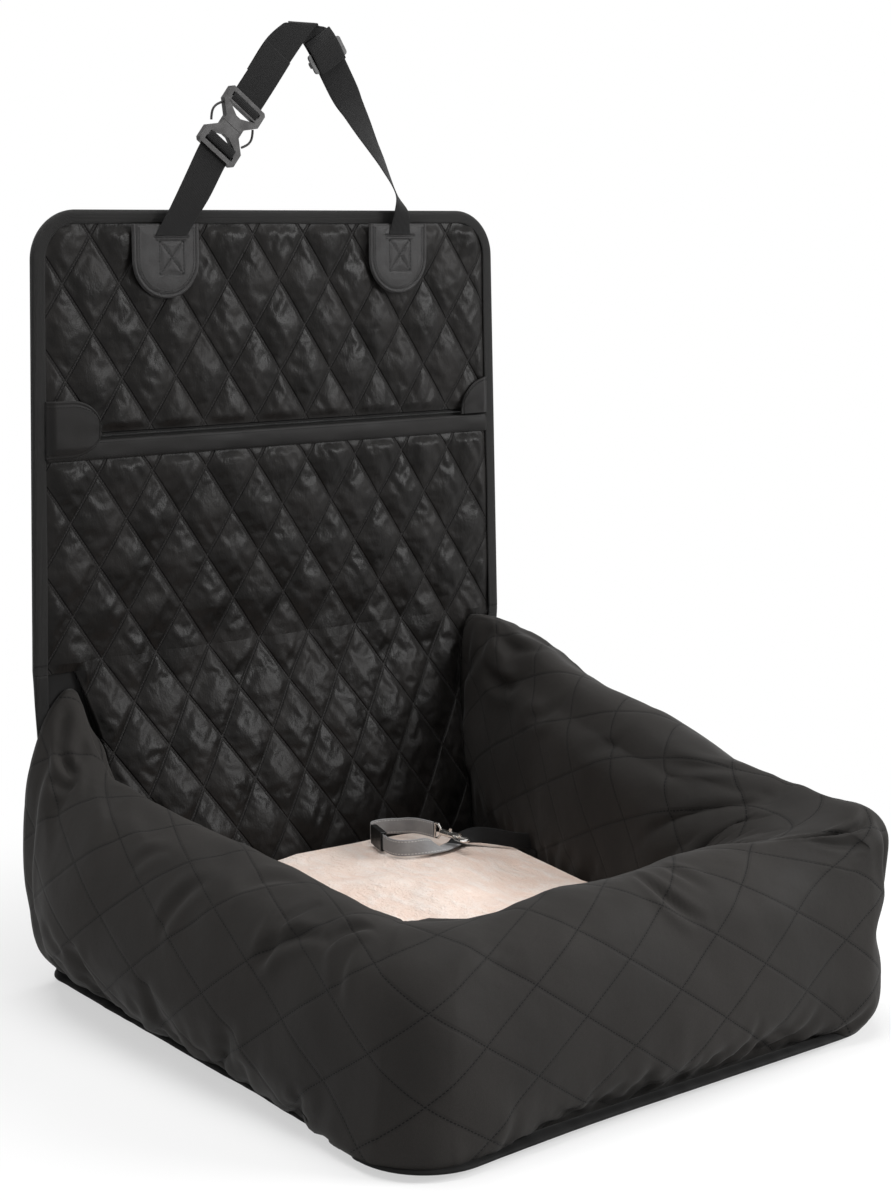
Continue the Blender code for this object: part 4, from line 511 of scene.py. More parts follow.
def leatherette(name):
    """Embossed grey-black leatherette: pebbled grain with painted shade in its grooves, and a soft gloss."""
    f = Finish(name, (0.040, 0.039, 0.039), Roughness=0.46, Specular_IOR_Level=0.28)
    sockets = {"Vector": f.place(), "Scale": 950.0}
    pebble = f.node("ShaderNodeTexVoronoi", {"feature": "DISTANCE_TO_EDGE"}, sockets)
    mottle = f.noise(60.0, 3.0)
    colour = f.mix(mottle.step(0.3, 0.7), (0.019, 0.018, 0.018), (0.034, 0.033, 0.033))
    # painted shade: the grooves between the pebbles are darkened
    colour = f.mix(pebble.step(0.0, 0.12, 0.5, 0.0), colour, (0.012, 0.012, 0.012))
    f.feed(Base_Color=colour, Roughness=mottle.step(0.3, 0.7, 0.40, 0.52))
    f.bump(pebble.step(0.0, 0.2) * 0.00022, mottle * 0.0006)
    return f.material


def plastic(name, colour, roughness, scuff=1.35):
    """Moulded plastic: a fine spark-eroded grain, and paler rubbed places."""
    f = Finish(name, colour, Roughness=roughness, Specular_IOR_Level=0.3)
    grain = f.noise(1500.0, 1.0)
    rub = f.noise(70.0, 3.0)
    shade = f.mix(rub.step(0.55, 0.8) * 0.7, colour, tuple(c * scuff for c in colour))
    f.feed(Base_Color=shade, Roughness=rub.step(0.35, 0.75, roughness - 0.06, roughness + 0.10))
    f.bump(grain * 0.00004)
    return f.material


def nickel(name):
    """Bright nickel plate: faint brushing and a few dull spots."""
    f = Finish(name, (0.71, 0.69, 0.66), Metallic=1.0, Roughness=0.20)
    haze = f.noise(220.0, 3.0)
    brush = f.noise(90.0, 2.0, stretch=(1.0, 12.0, 1.0))
    f.feed(Base_Color=f.mix(haze.step(0.35, 0.75), (0.74, 0.72, 0.69), (0.52, 0.50, 0.47)),
           Roughness=haze.step(0.3, 0.8, 0.14, 0.32))
    f.bump(brush * 0.00003)
    return f.material


def plush(name):
    """Short-pile blush plush: brushed streaks where the pile leans, lightened by painted sheen, and soft
    shade in its hollows.
    """
    f = Finish(name, (0.86, 0.66, 0.55), Roughness=0.95, Sheen_Weight=0.70, Sheen_Roughness=0.5,
               Specular_IOR_Level=0.15)
    f.shader.inputs["Sheen Tint"].default_value = (1.0, 0.90, 0.84, 1.0)
    slow = f.noise(16.0, 4.0)
    streak = f.noise(75.0, 4.0, stretch=(1.0, 0.45, 1.0), rough=0.62)
    pile = f.noise(420.0, 3.0, rough=0.7)
    tuft = f.noise(1300.0, 2.0)
    colour = f.mix(slow.step(0.3, 0.7), (0.87, 0.66, 0.55), (0.93, 0.79, 0.70))
    # painted sheen: the streaks where the pile leans are made lighter
    colour = f.mix(streak.step(0.42, 0.68) * 0.75, colour, (0.95, 0.86, 0.80))
    colour = f.mix(pile.step(0.3, 0.55, 0.45, 0.0), colour, (0.72, 0.51, 0.41))
    f.feed(Base_Color=colour, Roughness=pile.step(0.3, 0.7, 0.86, 0.98))
    f.bump(streak * 0.0060, pile * 0.0016, tuft * 0.0005)
    return f.material


def coil_nylon(name):
    """Zip coil: dark nylon with a soft gloss."""
    f = Finish(name, (0.050, 0.050, 0.050), Roughness=0.38, Specular_IOR_Level=0.5)
    rub = f.noise(300.0, 2.0)
    f.feed(Base_Color=f.mix(rub.step(0.4, 0.7), (0.040, 0.040, 0.040), (0.070, 0.070, 0.068)))
    return f.material


FINISHES = {
    "upper_satin": satin("upper_satin", UPPER_SEAM),
    "pocket_satin": satin("pocket_satin", POCKET_SEAM),
    "bolster_cloth": bolster_cloth("bolster_polyester"),
    "base_cloth": plain_cloth("base_oxford", (0.007, 0.007, 0.007), (0.013, 0.0125, 0.0125), 0.78),
    "strip_cloth": plain_cloth("pocket_strip_cloth", (0.008, 0.0076, 0.0074), (0.0135, 0.0126, 0.0122), 0.58),
    "binding_tape": ribbed_tape("binding_tape_ribs", (0.009, 0.0088, 0.0086), (0.02, 0.0195, 0.019),
                                pitch=0.0016, depth=0.00025),
    "webbing": ribbed_tape("black_webbing", (0.0036, 0.0036, 0.0038), (0.0095, 0.0093, 0.0093),
                           pitch=0.0020, depth=0.00028),
    "tether_webbing": ribbed_tape("grey_webbing", (0.23, 0.23, 0.234), (0.42, 0.418, 0.42),
                                  pitch=0.0016, depth=0.00022, edge=0.0068, half=0.009, black=0.108),
    "leatherette": leatherette("patch_leatherette"),
    "buckle_plastic": plastic("buckle_acetal", (0.0160, 0.0145, 0.0142), 0.44),
    "black_plastic": plastic("slider_plastic", (0.0085, 0.0085, 0.0085), 0.40),
    "nickel": nickel("nickel_plate"),
    "plush": plush("cushion_plush"),
    "zip_nylon": coil_nylon("zip_coil_nylon"),
    "thread": plain_cloth("sewing_thread", (0.006, 0.006, 0.006), (0.016, 0.016, 0.016), 0.60, grain=0.00004),
}
# The solids that stay as they are, by the finish that they get
SOLID_FINISHES = {
    "nickel": ("swivel_eye", "hook_body", "hook_bolt", "base_zip_slider", "base_zip_pull"),
    "black_plastic": ("tether_slider", "pocket_zip_slider", "pocket_zip_pull", "tri_glide"),
    "buckle_plastic": ("buckle_socket", "buckle_plug", "press_arm_left", "press_arm_right"),
}


def paint_solids():
    """Gives every solid of the table its finish."""
    for finish, nodes in SOLID_FINISHES.items():
        for node in nodes:
            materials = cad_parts[node].data.materials
            materials.clear()
            materials.append(FINISHES[finish])


def worn(piece, body, nodes=()):
    """Puts a finished piece on its body, in place of the solids that it stands for."""
    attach(piece, body)
    if nodes:
        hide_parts(*nodes)
    return piece


# Camera, floor and light

EYE = (-1.314, -1.668, 0.791)
LENS = 65.07
SENSOR_WIDTH = 36
PITCH = math.radians(9.90)
YAW = math.radians(37.90)


def make_camera():
    """The camera fitted to the photograph, turned down by its pitch and to the right by its yaw."""
    lens = bpy.data.cameras.new("photo_camera")
    lens.lens, lens.sensor_width = LENS, SENSOR_WIDTH
    camera = bpy.data.objects.new("photo_camera", lens)
    camera.location = EYE
    camera.rotation_euler = (math.pi / 2 - PITCH, 0, -YAW)
    bpy.context.scene.collection.objects.link(camera)
    bpy.context.scene.camera = camera


def background_rays(tree):
    """1 for the rays that see the background: from the camera, off gloss and through glass."""
    path = tree.nodes.new("ShaderNodeLightPath")
    share = path.outputs["Is Camera Ray"]
    for ray in ("Is Glossy Ray", "Is Transmission Ray"):
        most = tree.nodes.new("ShaderNodeMath")
        most.operation = "MAXIMUM"
        tree.links.new(share, most.inputs[0])
        tree.links.new(path.outputs[ray], most.inputs[1])
        share = most.outputs[0]
    return share


def make_floor():
    """A pale floor that keeps the seat's shadow, and turns to the background's plain white further out."""
    mesh = bpy.data.meshes.new("studio_floor")
    far = 14.0
    mesh.from_pydata([(-far, -far, 0), (far, -far, 0), (far, far, 0), (-far, far, 0)], [], [(0, 1, 2, 3)])
    floor = bpy.data.objects.new("studio_floor", mesh)
    floor.location.z = -0.0006
    bpy.context.scene.collection.objects.link(floor)
    f = Finish("floor_paper", (0.90, 0.90, 0.90), Roughness=0.9, Specular_IOR_Level=0.1)
    x, y, _ = f.parts(f.place())
    away = (x * x + y * y) ** 0.5
    share = away.step(0.45, 0.95, 0.55, 1.0) * Value(f, background_rays(f.tree))
    glow = f.tree.nodes.new("ShaderNodeEmission")
    mix = f.tree.nodes.new("ShaderNodeMixShader")
    f.put(mix.inputs[0], share)
    f.tree.links.new(f.shader.outputs[0], mix.inputs[1])
    f.tree.links.new(glow.outputs[0], mix.inputs[2])
    f.tree.links.new(mix.outputs[0], f.tree.nodes[0].inputs[0])
    mesh.materials.append(f.material)


def make_light():
    """Soft boxes round the seat, and a surround that is white where it is seen and dimmer where it lights."""
    for name, place, size, power, aim in (
            ("key_box", (2.1, -2.1, 1.6), 1.5, 98.0, (0, 0, 0.3)),
            ("fill_box", (-2.2, -1.3, 1.9), 1.8, 3.0, (0, 0, 0.35)),
            ("top_box", (-0.2, 0.1, 2.9), 1.8, 66.0, (0, 0, 0.3))):
        light = bpy.data.lights.new(name, "AREA")
        light.size, light.energy = size, power
        lamp = bpy.data.objects.new(name, light)
        lamp.location = place
        lamp.rotation_euler = (Vector(aim) - Vector(place)).to_track_quat("-Z", "Y").to_euler()
        bpy.context.scene.collection.objects.link(lamp)
    world = bpy.data.worlds.new("studio")
    bpy.context.scene.world = world
    world.use_nodes = True
    tree = world.node_tree
    tree.nodes.clear()
    out = tree.nodes.new("ShaderNodeOutputWorld")
    mix = tree.nodes.new("ShaderNodeMixShader")
    tree.links.new(background_rays(tree), mix.inputs[0])
    for socket, strength in ((1, 0.25), (2, 1.0)):
        sky = tree.nodes.new("ShaderNodeBackground")
        sky.inputs[0].default_value, sky.inputs[1].default_value = (1, 1, 1, 1), strength
        tree.links.new(sky.outputs[0], mix.inputs[socket])
    tree.links.new(mix.outputs[0], out.inputs[0])
    bpy.context.scene.view_settings.view_transform = "Standard"


# Straps and threads

STRAP_SECTION = 16  # points round a strap's section, which is flat with round edges


def strap(name, centre, half, normal, thick, finish):
    """Webbing carried along centre, its half width and its normal given at each place."""
    width = np.linalg.norm(half, axis=1, keepdims=True)
    turn = np.arange(STRAP_SECTION) / STRAP_SECTION * 2 * math.pi
    across, deep = signed_power(np.cos(turn), 0.35), signed_power(np.sin(turn), 0.55) * thick / 2
    points = centre[:, None] + half[:, None] * across[None, :, None]
    points = points + unit(normal)[:, None] * deep[None, :, None]
    along = np.repeat(run_of(centre)[:, None], len(across), 1)
    marks = np.stack([across[None] * width, along], -1)
    return rolled(name, points, finish, marks)


def dashes_on(line):
    """The middle and the direction of each stitch along a line of points."""
    at = run_of(line)
    count = max(2, int(at[-1] / THREAD_PITCH))
    spots = (np.arange(count) + 0.5) / count * at[-1]
    step = 1e-4
    return read_at(line, at, spots), read_at(line, at, spots + step) - read_at(line, at, spots - step)


def stitched(name, lines):
    """Thread along lines on the panel's front: a short spindle on each stitch, half sunk in the cloth."""
    centre, way = (np.vstack(part) for part in zip(*(dashes_on(line) for line in lines)))
    way, normal = unit(way), np.array([0, -1.0, 0])
    axes = np.stack([way, np.cross(normal, way), np.broadcast_to(normal, way.shape)], 1)
    rings, around = 6, 5
    t = np.linspace(-1, 1, rings)[:, None]
    turn = np.arange(around)[None] / around * 2 * math.pi
    fat = np.sqrt(np.maximum(0.02, 1 - t ** 2))
    shape = np.stack([t * THREAD_LENGTH / 2 + 0 * turn, fat * np.cos(turn) * THREAD_RADIUS,
                      (fat * np.sin(turn) + 0.4) * THREAD_RADIUS], -1)
    points = np.einsum("abk,nkc->nabc", shape, axes) + centre[:, None, None]
    grid = np.arange(rings * around).reshape(rings, around)
    first = rings * around * np.arange(len(centre))[:, None, None]
    faces = (corners_of(grid, rings - 1, around)[None] + first).reshape(-1, 4)
    caps = (np.array([grid[0], grid[-1, ::-1]])[None] + first).reshape(-1, around)
    faces = faces[:, ::-1].tolist() + caps.tolist()
    worn(mesh_piece(name, points.reshape(-1, 3), faces, FINISHES["thread"]), "back_panel")


# Tether cord

CUSHION_EDGE = 0.094
TETHER_ROUTE = np.array([
    (0.1960, 0.1170, 0.00), (0.1780, 0.1240, 0.00), (0.1600, 0.1400, 0.15), (0.1430, 0.1460, 0.30),
    (0.1210, 0.1460, 0.75), (0.1040, 0.1370, 1.00), (0.0810, 0.1240, 1.00), (0.0580, 0.1170, 0.45),
    (0.0370, 0.1180, 0.05), (0.0220, 0.1290, 0.00), (0.0210, 0.1490, 0.00), (0.0310, 0.1780, 0.00),
    (0.0420, 0.2060, 0.00), (0.0540, 0.2225, 0.00), (0.0720, 0.2245, 0.00), (0.0850, 0.2110, 0.00),
    (0.0885, 0.1900, 0.00), (0.0885, 0.1540, 0.00),
])
TETHER_HALF = 0.009
TETHER_THICKNESS = 0.0014
TETHER_LIES = 0.85  # share of the route that lies on the cushion
SLIDER_LIFT = 0.0155


def cushion_top(x, y):
    """The height of the cushion's top: a low crown with soft waves, highest towards the back."""
    u, v = x / HALF_BASE, y / BACK_Y
    crown = np.maximum(0, 1 - (1.35 * u) ** 2 - (1.05 * (v - 0.12)) ** 4)
    wave = np.sin(9.0 * u + 2.0) * np.cos(7.0 * v) + 0.8 * np.sin(6.0 * v - 4.0 * u)
    return CUSHION_EDGE + 0.024 * crown + 0.0035 * wave * crown


def tether_line(count):
    """The tether's centre, half width and face normal along its route, on edge or flat on the cushion.

    The route's third number says how flat it lies. Its last part lifts off the cushion to the fittings."""
    flat_route = through(TETHER_ROUTE, 221)
    at = run_of(flat_route[:, :2])
    spots = np.linspace(0, at[-1], count)
    x, y, flat = (np.interp(spots, at, flat_route[:, k]) for k in range(3))
    way = unit(np.column_stack([np.gradient(x), np.gradient(y)]))
    side = np.column_stack([way[:, 1], -way[:, 0], np.zeros(count)])
    lean = np.clip(flat, 0, 1)[:, None] * math.pi / 2
    width = side * np.sin(lean) + UP * np.cos(lean)
    normal = side * np.cos(lean) - UP * np.sin(lean)
    lift = 0.0026 - 0.0016 * flat + TETHER_HALF * np.cos(lean[:, 0])
    lift = lift + TETHER_THICKNESS / 2 * np.sin(lean[:, 0])
    reach = TETHER_HALF * np.array([(a, b) for a in (-1, 0, 1) for b in (-1, 0, 1)])
    ground = np.max([cushion_top(x + a, y + b) for a, b in reach], axis=0)
    share = np.clip((np.linspace(0, 1, count) - TETHER_LIES) / (1 - TETHER_LIES), 0, 1)
    height = blended(ground + lift, cushion_top(*TETHER_ROUTE[-1, :2]) + SLIDER_LIFT, share)
    return np.column_stack([x, y, height]), width * TETHER_HALF, normal


def make_tether():
    """The tether: a flat band along its line, its end lifted to its fittings."""
    centre, half, normal = tether_line(240)
    band = strap("tether_band", centre, half, normal, TETHER_THICKNESS, FINISHES["tether_webbing"])
    worn(band, "cushion", ["tether_webbing"])
    centre[::3].tolist() + [centre[-1].tolist()]


# Bolsters

# The bolsters' section from the outer hem over the crown to the inner hem: shares of the bulge,
# the thickness and the height, and of the front right corner's pinch
SECTION_SHARES = np.array([
    (0.00, 0.00, 0.00, 0.00), (0.70, 0.00, 0.13, 0.00), (1.00, 0.01, 0.32, 0.08), (0.98, 0.04, 0.54, 0.25),
    (0.78, 0.11, 0.74, 0.55), (0.45, 0.22, 0.90, 0.88), (0.15, 0.36, 0.985, 1.0), (0.00, 0.50, 1.00, 0.98),
    (0.00, 0.68, 0.95, 0.70), (0.00, 0.85, 0.80, 0.30), (0.00, 0.96, 0.58, 0.08), (0.00, 1.00, 0.34, 0.00),
    (0.00, 0.98, 0.00, 0.00),
])
# Along each side from its back end: share of the way, of the rise over the front's height, of the
# thickness from back to front, and of the bulge
LEFT_SIDE_SHARES = np.array([
    (0.00, 1.00, 0.00, 0.85), (0.06, 0.52, 0.03, 1.02), (0.13, 0.36, 0.10, 1.12), (0.30, 0.18, 0.38, 1.12),
    (0.55, 0.07, 0.76, 0.88), (0.75, -0.02, 0.95, 0.62), (1.00, -0.10, 1.00, 0.42),
])
RIGHT_SIDE_SHARES = np.array([
    (0.00, 1.00, 0.00, 0.60), (0.09, 1.04, 0.05, 0.92), (0.22, 0.94, 0.22, 1.02), (0.40, 0.765, 0.55, 0.98),
    (0.62, 0.565, 0.85, 0.80), (0.84, 0.40, 1.00, 0.62), (1.00, 0.26, 1.00, 0.46),
])
# Along the front from left to right: share of the way, and of the ear that the corner stands up by
FRONT_RISE_SHARES = np.array([(0.0, -0.20), (0.25, 0.0), (0.7, 0.10), (1.0, 0.40)])
CORNER_PINCH = 0.062
PINCH_REACH = 0.070
PINCH_INSET = 0.016
HEM_TUCK = 0.006
FRONT_HEIGHT = 0.204
LEFT_HEIGHT = 0.310
RIGHT_HEIGHT = 0.328
EAR = 0.026
BULGE = 0.045
FRONT_BULGE = 0.012
FRONT_THICK = 0.120
BACK_THICK = 0.050
OUTER_RADIUS = 0.055
INNER_RADIUS = 0.050
BOLSTER_BACK = 0.3151


def bolster_net():
    """Rings of points round the U from the back left to the back right, each over the bolster's section.

    Outer points follow the base's outline, inner ones the well's; the crown's height, the bulge and
    the thickness come from the share tables."""
    out_front, in_front = FRONT_Y + OUTER_RADIUS, FRONT_Y + FRONT_THICK + INNER_RADIUS
    well = HALF_BASE - FRONT_THICK
    side, corner, front = (np.arange(rings) / rings for rings in (9, 5, 8))

    def flank(table, share, top, sign):
        """One side's rows at shares of the way from its back to its front corner, by its table."""
        rise, thick, bulge = (np.interp(share, table[:, 0], table[:, k]) for k in (1, 2, 3))
        outer_x = np.full_like(share, sign * HALF_BASE)
        inner_x = sign * (HALF_BASE - blended(BACK_THICK, FRONT_THICK, thick))
        outer = np.column_stack([outer_x, blended(BOLSTER_BACK, out_front, share)])
        inner = np.column_stack([inner_x, blended(BOLSTER_BACK, in_front, share)])
        return outer, inner, FRONT_HEIGHT + rise * (top - FRONT_HEIGHT), bulge * BULGE

    def bend(share, start, sign, heights, bulges):
        """A front corner's rows: a quarter turn round the outer and the inner radius."""
        turn = math.pi * (start + share / 2)
        way = np.column_stack([np.cos(turn), np.sin(turn)])
        outer = (sign * (HALF_BASE - OUTER_RADIUS), out_front) + OUTER_RADIUS * way
        inner = (sign * (well - INNER_RADIUS), in_front) + INNER_RADIUS * way
        return outer, inner, heights, bulges

    left_end = FRONT_HEIGHT + LEFT_SIDE_SHARES[-1, 1] * (LEFT_HEIGHT - FRONT_HEIGHT)
    right_end = FRONT_HEIGHT + RIGHT_SIDE_SHARES[-1, 1] * (RIGHT_HEIGHT - FRONT_HEIGHT)
    left_ear, right_ear = (FRONT_HEIGHT + FRONT_RISE_SHARES[k, 1] * EAR for k in (0, -1))
    left_bulge, right_bulge = (table[-1, 3] * BULGE for table in (LEFT_SIDE_SHARES, RIGHT_SIDE_SHARES))
    rise = np.interp(front, FRONT_RISE_SHARES[:, 0], FRONT_RISE_SHARES[:, 1])
    across, level = 2 * front - 1, np.ones(len(front))
    parts = [
        flank(LEFT_SIDE_SHARES, side, LEFT_HEIGHT, -1),
        bend(corner, 1.0, -1, blended(left_end, left_ear, corner),
             blended(left_bulge, FRONT_BULGE, corner)),
        (np.column_stack([across * (HALF_BASE - OUTER_RADIUS), FRONT_Y * level]),
         np.column_stack([across * (well - INNER_RADIUS), (FRONT_Y + FRONT_THICK) * level]),
         FRONT_HEIGHT + rise * EAR, FRONT_BULGE * level),
        bend(corner, 1.5, 1, blended(right_ear, right_end, corner),
             blended(FRONT_BULGE, right_bulge, corner)),
        flank(RIGHT_SIDE_SHARES, 1 - np.append(side, 1), RIGHT_HEIGHT, 1),
    ]
    outer, inner, height, bulge = (np.concatenate([part[k] for part in parts]) for k in range(4))
    across = inner - outer
    length = np.linalg.norm(across, axis=1)[:, None]
    out, thick, up, drawn = SECTION_SHARES.T
    hem = HEM_TUCK * (1 - np.clip(up / SECTION_SHARES[1, 2], 0, 1)) * (thick < 0.5)
    tip = np.array([HALF_BASE - PINCH_INSET, FRONT_Y + PINCH_INSET])
    pinch = CORNER_PINCH * np.exp(-(np.linalg.norm(outer - tip, axis=1) / PINCH_REACH) ** 2)
    u = thick * length - out * bulge[:, None] + hem - drawn * pinch[:, None]
    v = HEM_Z + up * (height[:, None] - HEM_Z)
    flat = outer[:, None] + u[..., None] * (across / length)[:, None]
    return np.concatenate([flat, v[..., None]], -1)


def filled(grid, rows, columns):
    """A grid of points read more finely, by smooth curves along it and across it."""
    return through(through(grid, rows).swapaxes(0, 1), columns).swapaxes(0, 1)


BELT = 0.2  # share of the way round the section where the outer side stands out most


def bolster_surface(rows, columns):
    """The bolsters' skin through the net's rings, and its place on the cloth: along the U, then up."""
    net = bolster_net()
    skin = filled(net, rows, columns)
    belt = skin[:, int(columns * BELT)]
    along = run_of(belt)
    middle = np.argmin(np.abs(belt[:, 0]) + (belt[:, 1] > 0) * 9)
    steps = np.linalg.norm(np.diff(skin, axis=1), axis=2)
    up = np.concatenate([np.zeros((rows, 1)), np.cumsum(steps, axis=1)], 1)
    marks = np.stack([np.repeat((along - along[middle])[:, None], columns, 1), up], -1)
    return skin, marks


# The bolsters' creases on their cloth: each one's start and end along the U and up from the hem,
# its width and its depth
CREASES = (
    (0.000, 0.232, 0.046, 0.160, 0.0060, 0.0050), (0.048, 0.236, 0.072, 0.185, 0.0070, 0.0026),
    (0.214, 0.246, 0.300, 0.240, 0.0045, 0.0055), (0.296, 0.236, 0.304, 0.130, 0.0060, 0.0036),
    (0.225, 0.232, 0.262, 0.205, 0.0055, 0.0024), (0.050, 0.006, 0.104, 0.060, 0.0055, 0.0030),
    (0.110, 0.012, 0.192, 0.052, 0.0060, 0.0034), (0.176, 0.010, 0.262, 0.046, 0.0055, 0.0034),
    (0.010, 0.004, 0.030, 0.046, 0.0050, 0.0022), (-0.120, 0.004, -0.096, 0.040, 0.0055, 0.0022),
    (-0.220, 0.006, -0.190, 0.050, 0.0060, 0.0022), (-0.345, 0.225, -0.405, 0.178, 0.0055, 0.0050),
    (-0.398, 0.196, -0.492, 0.140, 0.0065, 0.0046), (-0.425, 0.232, -0.480, 0.142, 0.0060, 0.0040),
    (-0.460, 0.250, -0.545, 0.196, 0.0070, 0.0030), (-0.360, 0.204, -0.372, 0.140, 0.0070, 0.0030),
    (-0.570, 0.212, -0.628, 0.142, 0.0065, 0.0034), (-0.640, 0.230, -0.690, 0.196, 0.0060, 0.0022),
    (-0.900, 0.322, -0.846, 0.262, 0.0055, 0.0044), (-0.888, 0.282, -0.838, 0.268, 0.0045, 0.0040),
    (-0.872, 0.246, -0.826, 0.262, 0.0045, 0.0030), (-0.900, 0.350, -0.835, 0.305, 0.0060, 0.0034),
    (0.840, 0.420, 0.735, 0.396, 0.0080, 0.0046), (0.846, 0.372, 0.742, 0.352, 0.0070, 0.0040),
    (0.842, 0.330, 0.770, 0.290, 0.0070, 0.0032), (0.700, 0.420, 0.640, 0.372, 0.0075, 0.0028),
    (0.560, 0.392, 0.505, 0.350, 0.0080, 0.0026), (0.440, 0.340, 0.380, 0.290, 0.0070, 0.0026),
    (0.330, 0.330, 0.372, 0.262, 0.0065, 0.0036), (-0.700, 0.020, -0.672, 0.078, 0.0065, 0.0024),
    (-0.560, 0.016, -0.530, 0.080, 0.0065, 0.0024), (-0.440, 0.008, -0.420, 0.060, 0.0060, 0.0022),
    (0.420, 0.010, 0.400, 0.060, 0.0060, 0.0026), (0.560, 0.012, 0.585, 0.080, 0.0065, 0.0024),
    (0.720, 0.016, 0.700, 0.070, 0.0065, 0.0024),
)
# Full and hollow places of the bolsters: each one's middle on the cloth, its reach along the U and up,
# and how far it stands out
SWELLS = (
    (0.275, 0.175, 0.055, 0.050, -0.009), (0.262, 0.040, 0.055, 0.036, 0.010),
    (0.480, 0.340, 0.150, 0.080, 0.013), (-0.600, 0.036, 0.130, 0.036, 0.006),
    (-0.420, 0.022, 0.120, 0.034, 0.009), (-0.290, 0.014, 0.090, 0.034, 0.011),
    (-0.880, 0.090, 0.060, 0.060, -0.004), (0.300, 0.245, 0.022, 0.026, 0.007),
)


def swelling(u, v):
    """The swells' height: one smooth mound or hollow at each place."""
    return sum(high * np.exp(-((u - u0) / wide) ** 2 - ((v - v0) / tall) ** 2)
               for u0, v0, wide, tall, high in SWELLS)


def creased(u, v):
    """The creases' height: each a groove between soft ridges, bowed a little, fading out at its ends."""
    height = np.zeros_like(u)
    for u0, v0, u1, v1, wide, deep in CREASES:
        span = np.hypot(u1 - u0, v1 - v0)
        way = np.array([u1 - u0, v1 - v0]) / span
        along = ((u - u0) * way[0] + (v - v0) * way[1]) / span
        away = (v - v0) * way[0] - (u - u0) * way[1] + 0.12 * span * (4 * along * (1 - along))
        fade = np.sin(math.pi * np.clip(along, 0, 1)) ** 0.8
        groove = np.exp(-(away / wide) ** 2)
        ridges = np.exp(-((np.abs(away) - 2.0 * wide) / (1.1 * wide)) ** 2)
        height += fade * deep * (0.55 * ridges - groove)
    return height


def skin_normals(points):
    """Each grid point's normal, from the cross product of its two neighbours' differences."""
    a, b = np.gradient(points, axis=0), np.gradient(points, axis=1)
    return unit(np.cross(a, b))


def make_bolsters():
    """The bolsters: the net's skin, swelled by air between its held hem and ends, then moved along its
    normals by the sum of shallow quilting, dents, gathers at the hem, creases and swells."""
    rows, columns = 521, 131
    skin, marks = bolster_surface(rows, columns)
    coarse, _ = bolster_surface(187, 47)
    held = np.zeros(coarse.shape[:2], bool)
    held[:, :2] = held[:, -4:] = True
    held[:3] = held[-3:] = True
    puffed = swelled(coarse, held, pressure=3.0, slack=0.03, cap=0.008, frames=14, mass=0.3, bend=0.15)
    skin = skin + filled(puffed - coarse, rows, columns)
    outwards = skin_normals(skin)
    if outwards[rows // 2, int(columns * BELT), 1] > 0:
        outwards = -outwards
    u, v = marks[..., 0], marks[..., 1]
    p, q = slants(u, v, BOLSTER_DIAMOND, BOLSTER_SEAM)
    quilt = (np.abs(np.sin(math.pi * p)) * np.abs(np.sin(math.pi * q))) ** 0.5
    hem = eased(v, 0.0, 0.05)
    dents = ripple(u / 0.11, v / 0.085, 5) * 0.0040 + ripple((u + v) / 0.042, (u - v) / 0.075, 6) * 0.0014
    gathers = ripple(u / 0.016, v / 0.11, 7) * 0.0018 * eased(v, 0.10, 0.02)
    height = (quilt * 0.0005 + dents) * hem + gathers * eased(v, 0, 0.01) + creased(u, v)
    height = height + swelling(u, v) * eased(v, -0.01, 0.01)
    skin = skin + outwards * height[..., None]
    skin[:, :, 2] = np.maximum(skin[:, :, 2], HEM_Z)
    skin[:, :, 1] = np.minimum(skin[:, :, 1], BOLSTER_BACK)
    piece = rolled("padded_bolsters", skin, FINISHES["bolster_cloth"], marks)
    worn(piece, "tub", ["tub_cover", "fill_left", "fill_front", "fill_right"])


# Quilted panel and roll

DRAWN_SHARE = 0.82  # share of the padding's height that is drawn before the simulation swells the rest


def diamonds(x, z, start):
    """The padding's height, 0 on a seam and 1 in a diamond's middle, and how near the next seam is."""
    p, q = slants(x, z, DIAMOND, start)
    a, b = np.abs(np.sin(math.pi * p)), np.abs(np.sin(math.pi * q))
    own = ripple(np.floor(p) * 1.7 + 11.3, np.floor(q) * 2.3 + 5.1, 3)
    return (a * b) ** 0.5 * (1 + 0.18 * own), np.minimum(a, b)


def crumpled(x, z, start, seed):
    """Small creases that run into the seams: noise stretched along one diagonal, then the other."""
    p, q = slants(x, z, DIAMOND, start)
    return ripple(p * 7, q * 1.6, seed) + ripple(p * 1.6, q * 7, seed + 1)


def quilt_lift(x, z, start, tall, seed, edge):
    """How far a quilted front stands out: puffed diamonds with creases, pressed down at its edges."""
    puff, near = diamonds(x, z, start)
    creases = crumpled(x, z, start, seed) * 0.0009 * eased(near, 0.0, 0.5)
    slow = ripple(x / 0.12, z / 0.14, seed + 2) * 0.0012
    return edge * (puff * tall + creases + slow)


def sewn_front(x, z, plain, tall, start, seed, edge):
    """The quilted front as points over its plain depth. A cloth simulation swells it between its seams.

    Near the fold the padding is drawn at its full height and held, so that the cloth runs on over it."""
    lift = quilt_lift(x, z, start, tall, seed, edge)
    _, near = diamonds(x, z, start)
    full = eased(0.030 - np.abs(z - FOLD_Z), 0.0, 0.022)
    held = (near < 0.10) | (edge < 0.5) | (full > 0.8)
    held[[0, -1]] = True
    held[:, [0, -1]] = True
    base = np.stack([x, BACK_Y - plain - lift * blended(DRAWN_SHARE, 1.0, full), z], -1)
    return swelled(base, held, pressure=-4.0, slack=0.008, cap=0.0028, frames=12, mass=0.06, bend=8.0)


def panel_half(z, inset):
    """Half the panel's width at a height, with its round top corners, drawn in by an inset."""
    radius = PANEL_RADIUS - inset
    rise = np.clip(z - (PANEL_TOP - PANEL_RADIUS), 0, radius)
    return leaned(HALF_TOP - inset - radius + np.sqrt(np.maximum(0, radius ** 2 - rise ** 2)), z)


